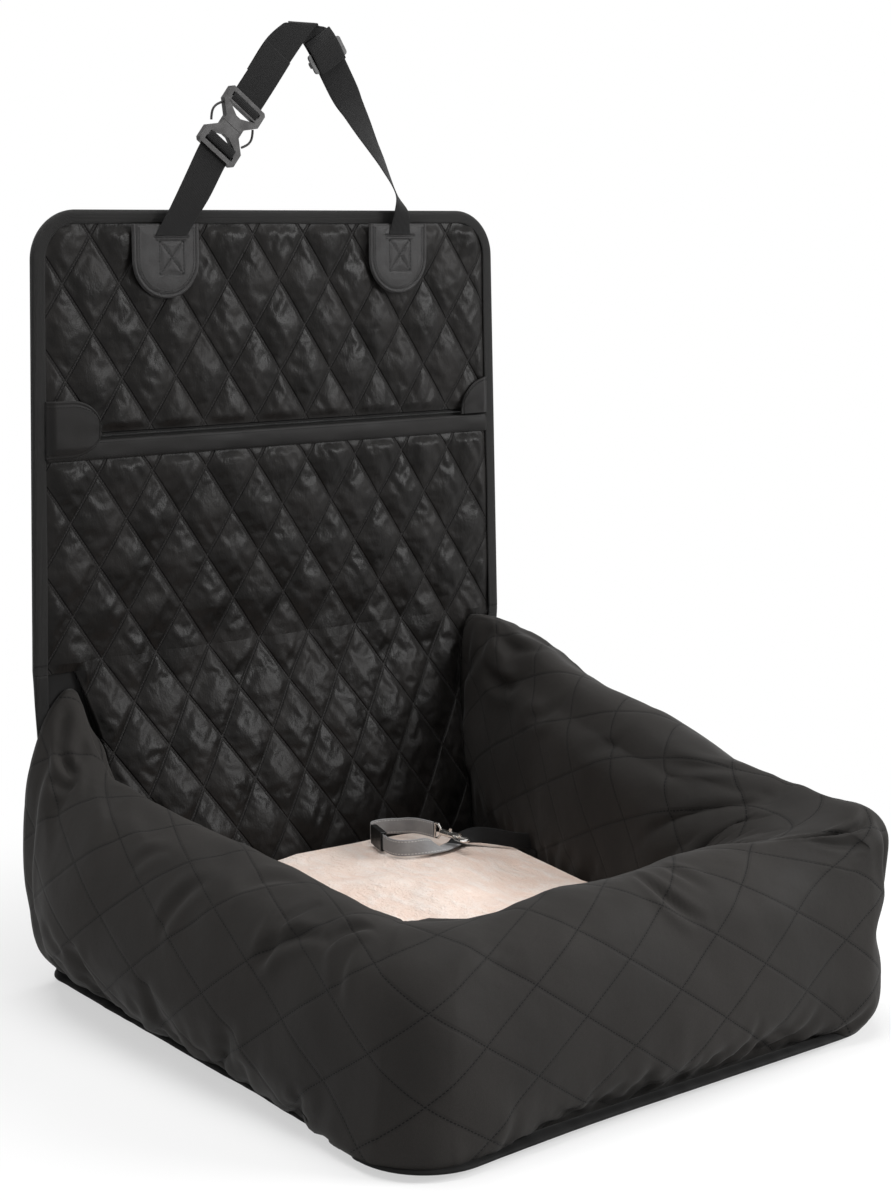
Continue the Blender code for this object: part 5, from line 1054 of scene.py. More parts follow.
ZIP_TOP = 0.5768
QUILT_INSET = 0.004
UPPER_PUFF, POCKET_PUFF = 0.0068, 0.0062
UPPER_SEED, POCKET_SEED = 21, 31


def make_quilts():
    """The upper padding and the pocket's: rows from bottom to top, as wide as the panel, with a flat back
    and a puffed front that sinks to its plain depth at the binding, the zip and the strip."""
    upper_top, pocket_bottom = PANEL_TOP - QUILT_INSET - 0.0005, FOLD_Z + FOLD_RELIEF
    inset = QUILT_INSET
    for name, node, bottom, top, start, tall, seed, finish in (
            ("upper_padding", "upper_quilt", ZIP_TOP, upper_top,
             UPPER_SEAM, UPPER_PUFF, UPPER_SEED, "upper_satin"),
            ("pocket_padding", "pocket_quilt", pocket_bottom, POCKET_TOP - 0.0004,
             POCKET_SEAM, POCKET_PUFF, POCKET_SEED, "pocket_satin")):
        rows, columns = int((top - bottom) / 0.0022), 251
        share = np.insert(np.linspace(0.0005, 1, rows - 1), 0, 0)
        z = np.repeat((bottom + share * (top - bottom))[:, None], columns, 1)
        s = np.repeat(np.linspace(-1, 1, columns)[None], rows, 0)
        x = s * panel_half(z, inset)
        from_side = panel_half(z, 0) - np.abs(x)
        to_edge = np.minimum(from_side, (PANEL_TOP - z))
        edge = eased(to_edge, BINDING_LEG - 0.001, BINDING_LEG + 0.012)
        if node == "pocket_quilt":
            edge = edge * eased(POCKET_TOP - z, 0.019, 0.030)
        else:
            edge = edge * eased(z - bottom, 0.0, 0.010)
        plain = 0.0074 - 0.0018 * eased(0.060 + FOLD_Z - z, 0.0, 0.055)
        front = sewn_front(x, z, plain, tall, start, seed, edge)
        back_depth = 0.0036 if node == "upper_quilt" else 0.0053
        back = np.stack([x, np.full_like(x, BACK_Y - back_depth), z], -1)
        front[..., 1] = np.minimum(front[..., 1], BACK_Y - back_depth - 0.0006)
        piece = slab(name, front, back, FINISHES[finish], np.stack([x, z], -1))
        worn(piece, "back_panel", [node])
    return front[0]


# The back roll from its foot to the fold: share of its height, of its depth and of its half width
ROLL_SHARES = np.array([
    (0.00, 0.80, 1.00), (0.16, 1.00, 1.00), (0.36, 0.96, 1.00), (0.56, 0.70, 1.00),
    (0.75, 0.40, 1.02), (0.90, 0.16, 1.07), (1.00, 0.0565, 1.12),
])
ROLL_DEPTH = 0.062
ROLL_HALF = 0.2325
WALL_DEPTH = 0.0039


def make_roll():
    """The back roll: rows from the hem to the fold. Depth and width follow the shares by height, and the
    depth falls away from the middle with the fourth power of the distance."""
    rows, columns = 150, 241
    table = through(ROLL_SHARES, 60)
    share = np.append(np.linspace(0, 0.9996, rows - 1), 1)
    depth, half = (np.interp(share, table[:, 0], table[:, k]) for k in (1, 2))
    low, high = HEM_Z, FOLD_Z - FOLD_RELIEF
    s = np.repeat(np.linspace(-1, 1, columns)[None], rows, 0)
    x = s * (half * ROLL_HALF)[:, None]
    z = np.repeat((low + share * (high - low))[:, None], columns, 1)
    plain = WALL_DEPTH + (depth * ROLL_DEPTH)[:, None] * (1 - 0.22 * np.abs(s) ** 4)
    edge = eased(1 - np.abs(s), 0.0, 0.04)
    front = sewn_front(x, z, plain, POCKET_PUFF, POCKET_SEAM, POCKET_SEED, edge)
    back = np.stack([x, np.full_like(x, BACK_Y - WALL_DEPTH), z], -1)
    piece = slab("back_roll", front, back, FINISHES["pocket_satin"], np.stack([x, z], -1))
    worn(piece, "tub", ["back_roll_cover", "fill_back"])
    return front[-1]


def binding_section(deep, leg):
    """The folded tape's section: from one leg's end round the panel's edge to the other's, and back."""
    wall = 0.0010
    near = [(leg, 0.0), (leg * 0.6, -0.0002), (0.003, 0.0001), (0.0004, 0.0018)]
    far = [(a, deep - b) for a, b in near[::-1]]
    outer = through(near + [(0.0, deep / 2)] + far, 25)
    inner = outer.copy()
    inner[:, 0] = np.minimum(outer[:, 0] + wall, leg - 0.0002)
    inner[:, 1] = np.clip(outer[:, 1], wall, deep - wall)
    return np.vstack([outer, inner[::-1]])


def taped(name, path, inward, deep):
    """Binding tape along a path in the panel's plane: x and z of the edge, and the way inwards from it.

    The section is as deep as deep says, at each place of the path where it is an array."""
    profile = binding_section(BINDING_DEPTH, BINDING_LEG)
    at = run_of(np.insert(path, 1, 0, axis=1))
    wave = ripple(path[:, 1] / 0.05 + path[:, 0] / 0.07, np.zeros(len(path)), 51) * 0.0006
    a = profile[None, :, 0] + wave[:, None] * (profile[None, :, 0] > BINDING_LEG * 0.5)
    z = path[:, 1, None] + a * inward[:, 1, None]
    x = leaned(path[:, 0, None] + a * inward[:, 0, None], z)
    y = BACK_Y - profile[None, :, 1] * np.broadcast_to(deep / BINDING_DEPTH, len(path))[:, None]
    along = np.repeat((at + path[0, 1])[:, None], len(profile), 1)
    around = np.repeat(run_of(np.insert(profile, 2, 0, axis=1))[None], len(path), 0)
    return rolled(name, np.stack([x, y, z], -1), FINISHES["binding_tape"], np.stack([around, along], -1))


def upright(name, sign, z, deep):
    """Binding tape on one side of the panel, at some heights."""
    path = np.column_stack([np.full_like(z, sign * HALF_TOP), z])
    return taped(name, path, np.tile((-sign, 0.0), (len(z), 1)), deep)


def make_bindings():
    """The tape round the panel's sides and top, on the rear wall's sides, and on the fold between them."""
    low, radius = FOLD_Z + FOLD_RELIEF, PANEL_RADIUS
    corner = np.linspace(math.pi, math.pi / 2, 28)
    left = np.column_stack([np.cos(corner), np.sin(corner)])
    right = left[::-1] * (-1, 1)
    rise = np.linspace(low, PANEL_TOP - radius, 150, endpoint=False)
    across = np.linspace(-HALF_TOP + radius, HALF_TOP - radius, 160)[1:-1]
    side = np.column_stack([np.full_like(rise, -HALF_TOP), rise])
    top = np.column_stack([across, np.full_like(across, PANEL_TOP)])
    path = np.vstack([side, (-HALF_TOP + radius, PANEL_TOP - radius) + radius * left, top,
                      (HALF_TOP - radius, PANEL_TOP - radius) + radius * right, side[::-1] * (-1, 1)])
    inward = np.vstack([0 * side + (1.0, 0.0), -left, 0 * top + (0.0, -1.0), -right, 0 * side + (-1.0, 0.0)])
    binding = taped("edge_binding", path, inward, BINDING_DEPTH)
    worn(binding, "back_panel", ["panel_binding"])
    for side_name, sign in (("left", -1), ("right", 1)):
        z = np.linspace(HEM_Z, FOLD_Z - FOLD_RELIEF, 110)
        deep = blended(0.0046, BRIDGE_DEPTH, eased(z, 0.29, 0.33))
        tape = upright("wall_tape_" + side_name, sign, z, deep)
        worn(tape, "tub", ["wall_binding_" + side_name])
        z = np.linspace(FOLD_Z - FOLD_RELIEF - 0.0006, low + 0.0006, 9)
        bridge = upright("fold_tape_" + side_name, sign, z, BRIDGE_DEPTH)
        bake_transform(bridge)


def make_fold(below, above):
    """The quilted cloth over the fold: straight lines from the roll's last row to the pocket's first."""
    rows, columns = 14, 241
    low, high = FOLD_Z - FOLD_RELIEF - 0.0005, FOLD_Z + FOLD_RELIEF + 0.0005
    share = np.concatenate([[0], np.linspace(0.01, 0.99, rows - 2), [1]])[:, None]
    x = panel_half(FOLD_Z, BINDING_LEG - 0.0040) * np.linspace(-1, 1, columns)[None] * np.ones((rows, 1))
    z = np.repeat(low + share * (high - low), columns, 1)
    under = np.interp(x, below[:, 0], below[:, 1])
    over = np.interp(x, above[:, 0], above[:, 1])
    front = np.stack([x, blended(under, over, share), z], -1)
    back = np.stack([x, np.full_like(x, BACK_Y - 0.0052), z], -1)
    piece = slab("fold_padding", front, back, FINISHES["pocket_satin"], np.stack([x, z], -1))
    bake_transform(piece)


REAR_NEAR, REAR_FAR = 0.0014, 0.0033  # the rear cloths' two faces, before the seat's back plane


def backing(name, node, body, low, high, swell):
    """The plain cloth behind the padding: a thin closed sheet, swelled and rippled inside its edges."""
    rows, columns, inset = 90, 120, 0.0025
    z = np.repeat(np.linspace(low, high, rows)[:, None], columns, 1)
    s = np.repeat(np.linspace(-1, 1, columns)[None], rows, 0)
    x = s * panel_half(z, inset)
    edge = eased(panel_half(z, inset) - np.abs(x), 0.010, 0.030) * eased(z - low, 0.0, 0.02)
    edge = edge * eased(high - z, 0.010, 0.025)
    wave = (ripple(x / 0.07, z / 0.09, 61) + 0.6 * ripple(x / 0.025, z / 0.03, 62)) * 0.0008 * edge
    near = REAR_NEAR - edge * swell
    rear = np.stack([x, BACK_Y - near - wave, z], -1)
    front = np.stack([x, BACK_Y - REAR_FAR + 0 * x, z], -1)
    piece = slab(name, front, rear, FINISHES["base_cloth"], np.stack([x, z], -1))
    return worn(piece, body, [node])


def make_backing():
    """The rear cloths above and below the fold."""
    lining = backing("panel_back_cloth", "panel_liner", "back_panel",
                     FOLD_Z + 0.0011, PANEL_TOP - 0.0022, swell=0.0004)
    wall = backing("wall_back_cloth", "rear_wall", "tub", HEM_Z + 0.0002, FOLD_Z - 0.0003, swell=0.0010)


# Pocket strip, zips and tabs


def zip_teeth(name, line, radius, pitch, wire, steps, ring=False):
    """A coil zip: a helix of that radius and pitch round a line, with a thin round wire."""
    along = run_of(line)
    count = int(along[-1] / pitch) * steps
    at = np.linspace(0, along[-1], count + 1)[:-1] if ring else np.linspace(0, along[-1], count)
    core = read_at(line, along, at)
    way = unit(np.roll(core, -1, 0) - np.roll(core, 1, 0)) if ring else unit(np.gradient(core, axis=0))
    side = unit(np.cross(way, UP))
    phase = (np.arange(count) / steps * 2 * math.pi)[:, None]
    radial = side * np.cos(phase) + UP * np.sin(phase)
    turn = np.arange(4) / 4 * 2 * math.pi
    points = (core + radial * (radius - wire))[:, None] + wire * (
        radial[:, None] * np.cos(turn)[None, :, None] + way[:, None] * np.sin(turn)[None, :, None])
    return rolled(name, points, FINISHES["zip_nylon"], ring=ring)


def outline_ring(inset, count):
    """The base's outline drawn in by an inset: a rectangle with round corners, read at even distances."""
    def bow(x, y, radius, start):
        """A quarter circle round a point."""
        turn = start + np.linspace(0, math.pi / 2, 16)
        return np.column_stack([x + radius * np.cos(turn), y + radius * np.sin(turn), 0 * turn])

    front, back = 0.055 - inset, 0.020 - inset
    x, y0, y1 = HALF_BASE - inset, FRONT_Y + inset, BACK_Y - inset
    loop = np.vstack([bow(-x + front, y0 + front, front, math.pi),
                      bow(x - front, y0 + front, front, -math.pi / 2),
                      bow(x - back, y1 - back, back, 0),
                      bow(-x + back, y1 - back, back, math.pi / 2)])
    loop = np.vstack([loop, loop[:1]])
    return evenly(loop, count + 1)[:-1]


# The pocket's zip, its strip and its tape: half lengths, heights, and depths before the seat's back plane
ZIP_HALF = 0.280
ZIP_Z = 0.573
COIL_DEPTH = 0.0061
STRIP_HALF = 0.2792
STRIP_HEIGHT = 0.020
STRIP_DEPTH = 0.0080
TAPE_HALF = 0.287
TAPE_LOW, TAPE_HEIGHT = 0.5555, 0.0205
TAPE_FRONT, TAPE_BACK = 0.0046, 0.0036
BASE_COIL_Z = 0.0039


def level_line(depth, z, count):
    """A line as long as the pocket's zip, at a depth before the seat's back plane and a height."""
    x = np.linspace(-ZIP_HALF, ZIP_HALF, count)
    return np.column_stack([x, np.full_like(x, BACK_Y - depth), np.full_like(x, z)])


def make_zips():
    """The pocket's coil, its strip with two rows of stitches and its tape, and the coil round the base."""
    coil = zip_teeth("pocket_coil", level_line(COIL_DEPTH, ZIP_Z, 200), 0.0012, 0.0017, 0.00045, 8)
    worn(coil, "back_panel", ["pocket_zip_coil"])
    ring = outline_ring(0.0018, 900)
    ring = np.vstack([ring, ring[:1]]) + (0, 0, BASE_COIL_Z)
    coil = zip_teeth("base_coil", ring, 0.0015, 0.0024, 0.0006, 7, ring=True)
    worn(coil, "tub", ["base_zip_coil"])

    x, t = np.meshgrid(np.linspace(-STRIP_HALF, STRIP_HALF, 240), np.linspace(0, 1, 14))
    z = POCKET_TOP - STRIP_HEIGHT + t * STRIP_HEIGHT
    x = leaned(x, z)
    crown = 0.0012 + 0.0016 * np.sin(math.pi * t) ** 0.6 + 0.0005 * ripple(x / 0.03, t * 2, 71)
    front = np.stack([x, BACK_Y - STRIP_DEPTH - crown, z], -1)
    back = np.stack([x, np.full_like(x, BACK_Y - STRIP_DEPTH), z], -1)
    strip = slab("pocket_edge_strip", front, back, FINISHES["strip_cloth"], np.stack([x, z], -1))
    worn(strip, "back_panel", ["pocket_binding"])
    levels = (POCKET_TOP - 0.0175, POCKET_TOP - 0.0030)
    stitched("pocket_strip_stitches", [level_line(STRIP_DEPTH + 0.0024, level, 300) for level in levels])

    x, t = np.meshgrid(np.linspace(-TAPE_HALF, TAPE_HALF, 120), np.linspace(0, 1, 8))
    z = TAPE_LOW + t * TAPE_HEIGHT
    ridge = 0.00015 * np.sin(t * 40)
    front = np.stack([x, BACK_Y - TAPE_FRONT - ridge, z], -1)
    back = np.stack([x, BACK_Y - TAPE_BACK + 0 * x, z], -1)
    tape = slab("pocket_tape", front, back, FINISHES["binding_tape"], np.stack([z, x], -1))
    worn(tape, "back_panel", ["pocket_zip_tape"])


# The base's sheet and its flange
SHEET_THICKNESS = 0.0030
FLANGE_Z = 0.0066
FLANGE_HALF = 0.0034
BASE_RUN = 2.36  # the base's way round


def make_base():
    """The base's flat sheet, and the wavy flange that its zip is sewn to."""
    rim = outline_ring(0.0036, 480)
    share = np.linspace(1, 0.02, 24)[:, None, None]
    middle = np.array([0, 0.006, 0])
    below = middle + (rim - middle)[None] * share
    above = below[::-1].copy()
    above[..., 2] = SHEET_THICKNESS - 0.0002 * (ripple(above[..., 0] / 0.05, above[..., 1] / 0.05, 81) > 0)
    disc = np.concatenate([below, above])
    sheet = rolled("base_panel", disc, FINISHES["base_cloth"], disc[..., :2])
    worn(sheet, "tub", ["base_sheet"])

    count = 1500
    rim = outline_ring(-0.0010, count)
    turn = np.arange(10) / 10 * 2 * math.pi
    way = unit(np.roll(rim, -1, 0) - np.roll(rim, 1, 0))
    out = np.column_stack([way[:, 1], -way[:, 0], 0 * way[:, 0]])
    at = np.arange(count) / count * BASE_RUN
    ruffle = ripple(at / 0.052, 0 * at, 82) * 0.0036 + ripple(at / 0.013, 0 * at, 83) * 0.0010
    # the flange is wider under the front left corner, where the bolster bulges out
    lobe = 0.011 * np.exp(-(np.hypot(rim[:, 0] + HALF_BASE, rim[:, 1] - FRONT_Y) / 0.12) ** 2)
    spread = ruffle + lobe / 2 + 0.0030 * eased(-rim[:, 1], 0.20, 0.30)
    wide = 0.0078 + lobe / 2
    core = rim + out * spread[:, None] + UP * (FLANGE_Z + ruffle * 0.5)[:, None]
    welt = core[:, None] + out[:, None] * (wide[:, None] * np.cos(turn))[..., None]
    welt = welt + UP * (np.sin(turn) * FLANGE_HALF)[None, :, None]
    flange = rolled("base_flange", welt, FINISHES["base_cloth"], ring=True)
    worn(flange, "tub", ["base_zip_tape"])


TAB_OUTER = 0.2806
TAB_LOW_DEPTH, TAB_TOP_DEPTH, TAB_END_DEPTH = 0.0108, 0.0150, 0.0099


def make_tabs():
    """Cloth tabs over the zip's ends: a tongue with a round end on the left, a quarter circle on the right.
    Each is rows of points between its lower and its upper edge, with a hem and stitches inside."""
    for name, node, sign, width, low, high, middle in (
            ("tab_left", "zip_tab_left", -1, 0.0610, 0.5520, 0.6115, 0.5800),
            ("tab_right", "zip_tab_right", 1, 0.0400, 0.5712, 0.6125, 0.5716)):
        s, t = np.meshgrid(np.sin(np.linspace(0, math.pi / 2, 60)), np.linspace(0, 1, 60), indexing="ij")
        bend = 0.42 if sign < 0 else 0.0
        round_off = np.sqrt(np.maximum(0, 1 - np.clip((s - bend) / (1 - bend), 0, 1) ** 2))
        upper, lower = blended(middle + 0.0006, high, round_off), blended(middle - 0.0006, low, round_off)
        z = lower + t * (upper - lower)
        x = sign * leaned(TAB_OUTER - s * width, z)
        inside = np.minimum(np.minimum(upper - z, (1 - s) * width), z - lower if sign < 0 else 1.0)
        over = eased(z, 0.5510, 0.5640)
        depth = blended(TAB_LOW_DEPTH, TAB_TOP_DEPTH, over) - 0.0010 * eased(s, 0.7, 1.0)
        depth = depth + 0.0010 * ripple(s * 3 + 0.4, t * 3, 91)
        depth = blended(TAB_END_DEPTH, depth, eased(s * width, 0.0, 0.009))
        hem = 0.0007 * eased(inside, 0.0, 0.0012) - 0.0008 * np.exp(-((inside - 0.0036) / 0.0007) ** 2)
        front = np.stack([x, BACK_Y - depth - hem, z], -1)
        back = np.stack([x, BACK_Y - depth + 0.0009, z], -1)
        piece = slab(name, front, back, FINISHES["strip_cloth"], np.stack([x, z], -1))
        worn(piece, "back_panel", [node])
        rim = np.vstack([front[:-3, 53], front[-6, 8:52][::-1]]) if sign < 0 else front[:-3, 54]
        stitched(name + "_stitches", [rim + (0, -0.0002, 0)])


# Anchor patches, strap and buckle

PATCH_HALF = 0.040
PATCH_TOP = 0.7887
PATCH_BOTTOM = 0.7117
PATCH_X = (-0.1450, 0.1545)
FOOT_X = (-0.1395, 0.1555)
BOX_WIDTH, BOX_TOP, BOX_BOTTOM = 0.029, 0.772, 0.7365  # the box of stitches that holds the strap's end
PATCH_DEPTH = 0.0147
SLIT_Z, LIP_Z = 0.7755, 0.7732
STRAP_Y = 0.3024
LAYER_Y = 0.3041
STRAP_HALF = 0.019
STRAP_THICK = 0.0014
LEG_ANGLE = math.radians(52.5)
RIGHT_LEG_ANGLE = math.radians(58.0)
RIGHT_LEG_START = (0.054, 0.985)
STRAP_TOP = 1.0
FOLD_RADIUS = 0.0045
FOOT_Z = 0.777


def make_patches():
    """Two patches, flat above and round below: rows of points as wide as the outline, raised inside the seam,
    with a slit for the strap and a crossed box of stitches under it."""
    for name, node, x0, foot in (("patch_left", "anchor_patch_left", PATCH_X[0], FOOT_X[0]),
                                 ("patch_right", "anchor_patch_right", PATCH_X[1], FOOT_X[1])):
        z = np.linspace(PATCH_BOTTOM + 0.0004, PATCH_TOP, 110)
        drop = np.clip(PATCH_BOTTOM + PATCH_HALF - z, 0, PATCH_HALF)
        half = np.sqrt(np.maximum(PATCH_HALF ** 2 - drop ** 2, 1e-9))
        s = np.sin(np.linspace(-math.pi / 2, math.pi / 2, 111))
        x = half[:, None] * s[None]
        zz = np.repeat(z[:, None], 111, 1)
        away = PATCH_HALF - np.hypot(x, np.minimum(zz - PATCH_BOTTOM - PATCH_HALF, 0))
        away = np.minimum(away, PATCH_TOP - zz + 0.004)
        dome = 0.0022 * eased(away, -0.0006, 0.0022) - 0.0009 * np.exp(-((away - 0.0048) / 0.0011) ** 2)
        dome = dome + 0.0006 * eased(away, 0.006, 0.016)
        aside = np.abs(x0 + x - foot)
        wide = (x0 + x - foot) / (BOX_WIDTH / 2)
        tall = (zz - (BOX_TOP + BOX_BOTTOM) / 2) / ((BOX_TOP - BOX_BOTTOM) / 2)
        far = np.maximum(np.abs(wide), np.abs(tall))
        inside = eased(1.12 - far, 0.0, 0.10)
        cross = np.minimum(np.abs(wide - tall), np.abs(wide + tall))
        rim = np.abs(far - 1)
        dome = dome + inside * (0.0009 * eased(np.minimum(cross, rim), 0.0, 0.35) - 0.0003)
        slit = np.exp(-((zz - SLIT_Z) / 0.0013) ** 2) * eased(0.0215 - aside, 0.0, 0.002)
        lip = 0.0009 * np.exp(-((zz - LIP_Z) / 0.0012) ** 2) * eased(0.020 - aside, 0.0, 0.003)
        dome = dome - 0.0016 * slit + lip
        front = np.stack([x0 + x, BACK_Y - PATCH_DEPTH - dome, zz], -1)
        back = np.stack([x0 + x, np.full_like(x, BACK_Y - 0.0146), zz], -1)
        piece = slab(name, front, back, FINISHES["leatherette"], np.stack([x, zz], -1))
        worn(piece, "back_panel", [node])
        turn = np.linspace(0, math.pi, 50)
        lines = []
        for inset, raised in ((0.0048, 0.0014), (0.0078, 0.0023)):
            r = PATCH_HALF - inset
            middle = PATCH_BOTTOM + PATCH_HALF
            arc = np.column_stack([x0 - r * np.cos(turn), 0 * turn, middle - r * np.sin(turn)])
            up = np.linspace(PATCH_TOP - 0.003, middle, 12)[:-1]
            side = np.column_stack([np.full_like(up, x0 - r), 0 * up, up])
            other = side[::-1] * (-1, 1, 1) + (2 * x0, 0, 0)
            line = np.vstack([side, arc, other])
            line[:, 1] = BACK_Y - PATCH_DEPTH - raised
            lines.append(line)
        left, right = foot - BOX_WIDTH / 2, foot + BOX_WIDTH / 2
        corners = [(left, BOX_TOP), (right, BOX_TOP), (right, BOX_BOTTOM), (left, BOX_BOTTOM)]
        box_y = BACK_Y - PATCH_DEPTH - 0.0030
        for a, b in ((0, 1), (1, 2), (2, 3), (3, 0), (0, 2), (1, 3)):
            lines.append(np.array([(corners[k][0], box_y, corners[k][1]) for k in (a, b)]))
        stitched(name + "_stitches", lines)


def leg_point(distance):
    """The x and z of the strap's left leg, at a distance down from its top."""
    return np.array([0.0205 - distance * math.cos(LEG_ANGLE), STRAP_TOP - distance * math.sin(LEG_ANGLE)])


def station(x, y, z, half, normal):
    """One row of a ribbon: its centre, half its width as a vector, and the normal of its face."""
    return np.array([x, y, z, *half, *normal], float)


def ribbon(name, stations, body, nodes, steps, count):
    """A strap through stations of centre, half width and normal, smoothed between them."""
    rows = evenly(through(np.array(stations), steps), count)
    piece = strap(name, rows[:, :3], rows[:, 3:6], rows[:, 6:], STRAP_THICK, FINISHES["webbing"])
    worn(piece, body, nodes)


def make_strap():
    """The headrest strap: its short and long parts, the layer from the plug, and the webbing on the bars."""
    across = np.array([STRAP_HALF * math.sin(LEG_ANGLE), 0, -STRAP_HALF * math.cos(LEG_ANGLE)])
    out = (0, -1, 0)
    level = np.array([STRAP_HALF, 0, 0])
    end, lower = leg_point(0.1682), leg_point(0.1810)
    foot = np.array([FOOT_X[0], FOOT_Z])
    rows = [station(foot[0], STRAP_Y, foot[1], level, out)]
    for share in (0.30, 0.62):
        x, z = blended(foot, lower, share)
        half = blended(level, across, eased(share, 0, 0.9))
        rows.append(station(x, STRAP_Y - 0.0022 * math.sin(share * 3.1), z, half, out))
    rows += [station(lower[0], STRAP_Y, lower[1], across, out), station(end[0], STRAP_Y, end[1], across, out)]
    ribbon("strap_short", rows, "headrest_strap", ["strap_left"], 200, 200)

    begin, bend = leg_point(0.0789), leg_point(0.040)
    fold_y, back_y = LAYER_Y + FOLD_RADIUS, LAYER_Y + 0.009
    half = blended(level, across, 0.35)
    rows = [station(begin[0], LAYER_Y, begin[1], across, out),
            station(bend[0], LAYER_Y, bend[1], across, out),
            station((bend[0] + 0.065) / 3, LAYER_Y + 0.0007, 0.9928, half, (0, -1, 0.2))]
    for angle in (-50, -25, 0, 25, 50):
        turn = math.radians(angle)
        shift, drop = FOLD_RADIUS * math.sin(turn), FOLD_RADIUS * (1 - math.cos(turn))
        rows.append(station(0.0325 + shift, fold_y + shift, STRAP_TOP - drop, level,
                            (0, math.sin(turn), math.cos(turn))))
    side = np.array([math.sin(RIGHT_LEG_ANGLE), 0, math.cos(RIGHT_LEG_ANGLE)])
    rear = np.array([0, 1, 0])

    def on_right_leg(run, y, half, normal):
        """A row of the right leg, some way down from its start."""
        x = RIGHT_LEG_START[0] + run * math.cos(RIGHT_LEG_ANGLE)
        return station(x, y, RIGHT_LEG_START[1] - run * math.sin(RIGHT_LEG_ANGLE), half, normal)

    def turned(degrees):
        """The strap's way across and its normal, turned about its own length."""
        turn = math.radians(degrees)
        return side * math.cos(turn) + rear * math.sin(turn), rear * math.cos(turn) - side * math.sin(turn)

    for share, degrees, width in ((0.03, 0, 1.0), (0.40, 0, 1.0), (0.55, 14, 1.0),
                                  (0.70, 24, 0.97), (0.86, 36, 0.90), (1.0, 44, 0.80)):
        half, normal = turned(degrees)
        forward = max(0.0, share - 0.40) * 0.009
        rows.append(on_right_leg(share * 0.156, back_y - forward, half * STRAP_HALF * width, normal))
    half, normal = turned(47)
    rows += [
        station(FOOT_X[1] - 0.0042, back_y - 0.009, 0.822, half * (1, 1, 0) * STRAP_HALF * 0.7, normal),
        station(FOOT_X[1], STRAP_Y - 0.0028, 0.802, (STRAP_HALF * 0.55, 0.0014, 0), (-0.1, 1, 0)),
        station(FOOT_X[1], STRAP_Y, 0.7833, (STRAP_HALF * 0.72, 0, 0), rear),
        station(FOOT_X[1], STRAP_Y, FOOT_Z, (STRAP_HALF * 0.8, 0, 0), rear),
    ]
    ribbon("strap_main", rows, "headrest_strap", ["strap_long"], 40 * len(rows), 420)

    top, bar = leg_point(0.0405), leg_point(0.1121)
    middle = (top + bar) / 2
    rows = [station(x, STRAP_Y - lift, z, across, out)
            for (x, z), lift in ((bar, 0), (middle, 0.0006), (top, 0))]
    ribbon("strap_free_end", rows, "plug", ["plug_webbing"], 120, 60)
    rows = [on_right_leg(run, back_y - lift, side * STRAP_HALF, rear)
            for run, lift in ((-0.004, 0.0016), (0.006, 0.0044), (0.020, 0.0050), (0.034, 0.0040))]
    ribbon("strap_doubled_end", rows, "headrest_strap", (), 120, 60)
    down = np.array([-math.cos(LEG_ANGLE), 0, -math.sin(LEG_ANGLE)])
    for name, distance, body in (("plug_bar_webbing", 0.1135, "plug"),
                                 ("socket_bar_webbing", 0.1632, "headrest_strap")):
        x, z = leg_point(distance)
        spots = np.linspace(-0.96, 0.96, 24)[:, None]
        centre = (x, STRAP_Y, z) + spots * across
        half, normal = np.tile(down * 0.0056, (24, 1)), np.tile((0, -1.0, 0), (24, 1))
        wrap = strap(name, centre, half, normal, 0.0086, FINISHES["webbing"])
        worn(wrap, body, ())


def make_anchor():
    """The black sewn end of the tether, standing between the cushion and the right bolster."""
    z = np.linspace(0.0036, 0.1008, 50)
    twist = 0.35 * np.sin(z * 30)
    centre = np.column_stack([np.full(50, 0.1963), np.full(50, 0.117), z])
    half = np.column_stack([0.0004 * twist, np.full(50, TETHER_HALF), 0 * z])
    normal = np.tile((1.0, 0, 0), (50, 1))
    piece = strap("tether_root", centre, half, normal, TETHER_THICKNESS, FINISHES["webbing"])
    worn(piece, "tub", ["tether_anchor"])


# Cushion

CUSHION_SQUARE = 0.34  # the power that rounds the cushion's corners: 0 makes a box, 1 an ellipse


def well_half(y):
    """Half the well's width at a place along the seat."""
    in_front = FRONT_Y + FRONT_THICK + INNER_RADIUS
    share = np.clip((BOLSTER_BACK - y) / (BOLSTER_BACK - in_front), 0, 1)
    table = RIGHT_SIDE_SHARES
    thick = np.interp(share, table[:, 0], table[:, 2])
    return HALF_BASE - blended(BACK_THICK, FRONT_THICK, thick)


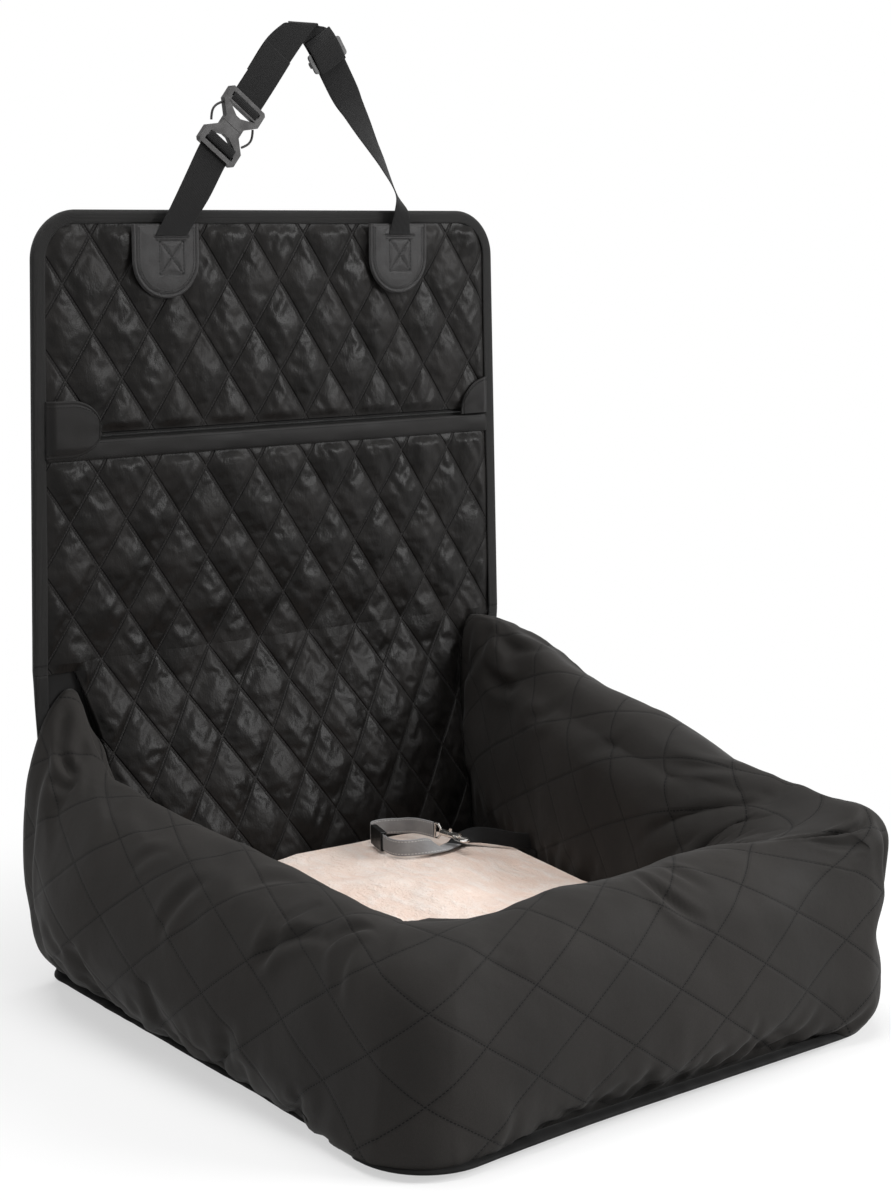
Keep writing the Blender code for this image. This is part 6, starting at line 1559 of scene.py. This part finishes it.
def cushion_ring(inset, count):
    """The cushion's outline: a rounded box as wide as the well leaves, drawn in by an inset."""
    gap = 0.004 + inset
    front = FRONT_Y + FRONT_THICK + gap
    back = BACK_Y - 0.0036 - ROLL_DEPTH - 0.0055 - 0.006 - inset
    turn = 2 * math.pi * (np.arange(count) + 0.5) / count
    c, s = np.cos(turn), np.sin(turn)
    y = (front + back) / 2 + signed_power(s, CUSHION_SQUARE) * (back - front) / 2
    x = signed_power(c, CUSHION_SQUARE) * (well_half(y) - gap)
    return np.column_stack([x, y, 0 * x])


def cushion_skin(count, rings):
    """The cushion's skin: its bottom, its drawn-in side, and rings over its crown in to the middle."""
    heights = [(0.0112, 0.0046), (0.0, 0.0206), (0.0, 0.0517), (0.0032, 0.080)]
    rows = [cushion_ring(draw, count) + (0, 0, z) for draw, z in heights]
    rows = list(through(np.array(rows), 12))
    rim = cushion_ring(0.0128, count)
    middle = rim.mean(0)
    share = 1 - (np.arange(rings) / rings) ** 1.15
    top = middle + (rim - middle)[None] * share[:, None, None]
    top[..., 2] = cushion_top(top[..., 0], top[..., 1])
    return np.concatenate([np.array(rows), top])


def make_cushion():
    """The cushion: its skin, raised on top by two sizes of soft folds that calm down under the tether."""
    count, rings = 360, 110
    skin = cushion_skin(count, rings)
    x, y = skin[..., 0], skin[..., 1]
    on_top = eased(skin[..., 2], 0.07, 0.092)
    folds = ripple(x / 0.050 + y / 0.09, y / 0.045 - x / 0.1, 101) * 0.0034
    folds = folds + ripple(x / 0.020, y / 0.024, 102) * 0.0011
    calm = 1 - 0.85 * np.exp(-((x - 0.08) / 0.11) ** 2 - ((y - 0.165) / 0.075) ** 2)
    skin[..., 2] += folds * on_top * calm
    piece = rolled("cushion", skin, FINISHES["plush"])
    worn(piece, "cushion", ["cushion_cover", "cushion_foam", "cushion_underside"])


make_camera()
make_tether()
make_anchor()
make_floor()
make_light()
make_bolsters()
make_fold(make_roll(), make_quilts())
make_bindings()
make_backing()
make_zips()
make_base()
make_tabs()
make_patches()
make_strap()
make_cushion()
paint_solids()
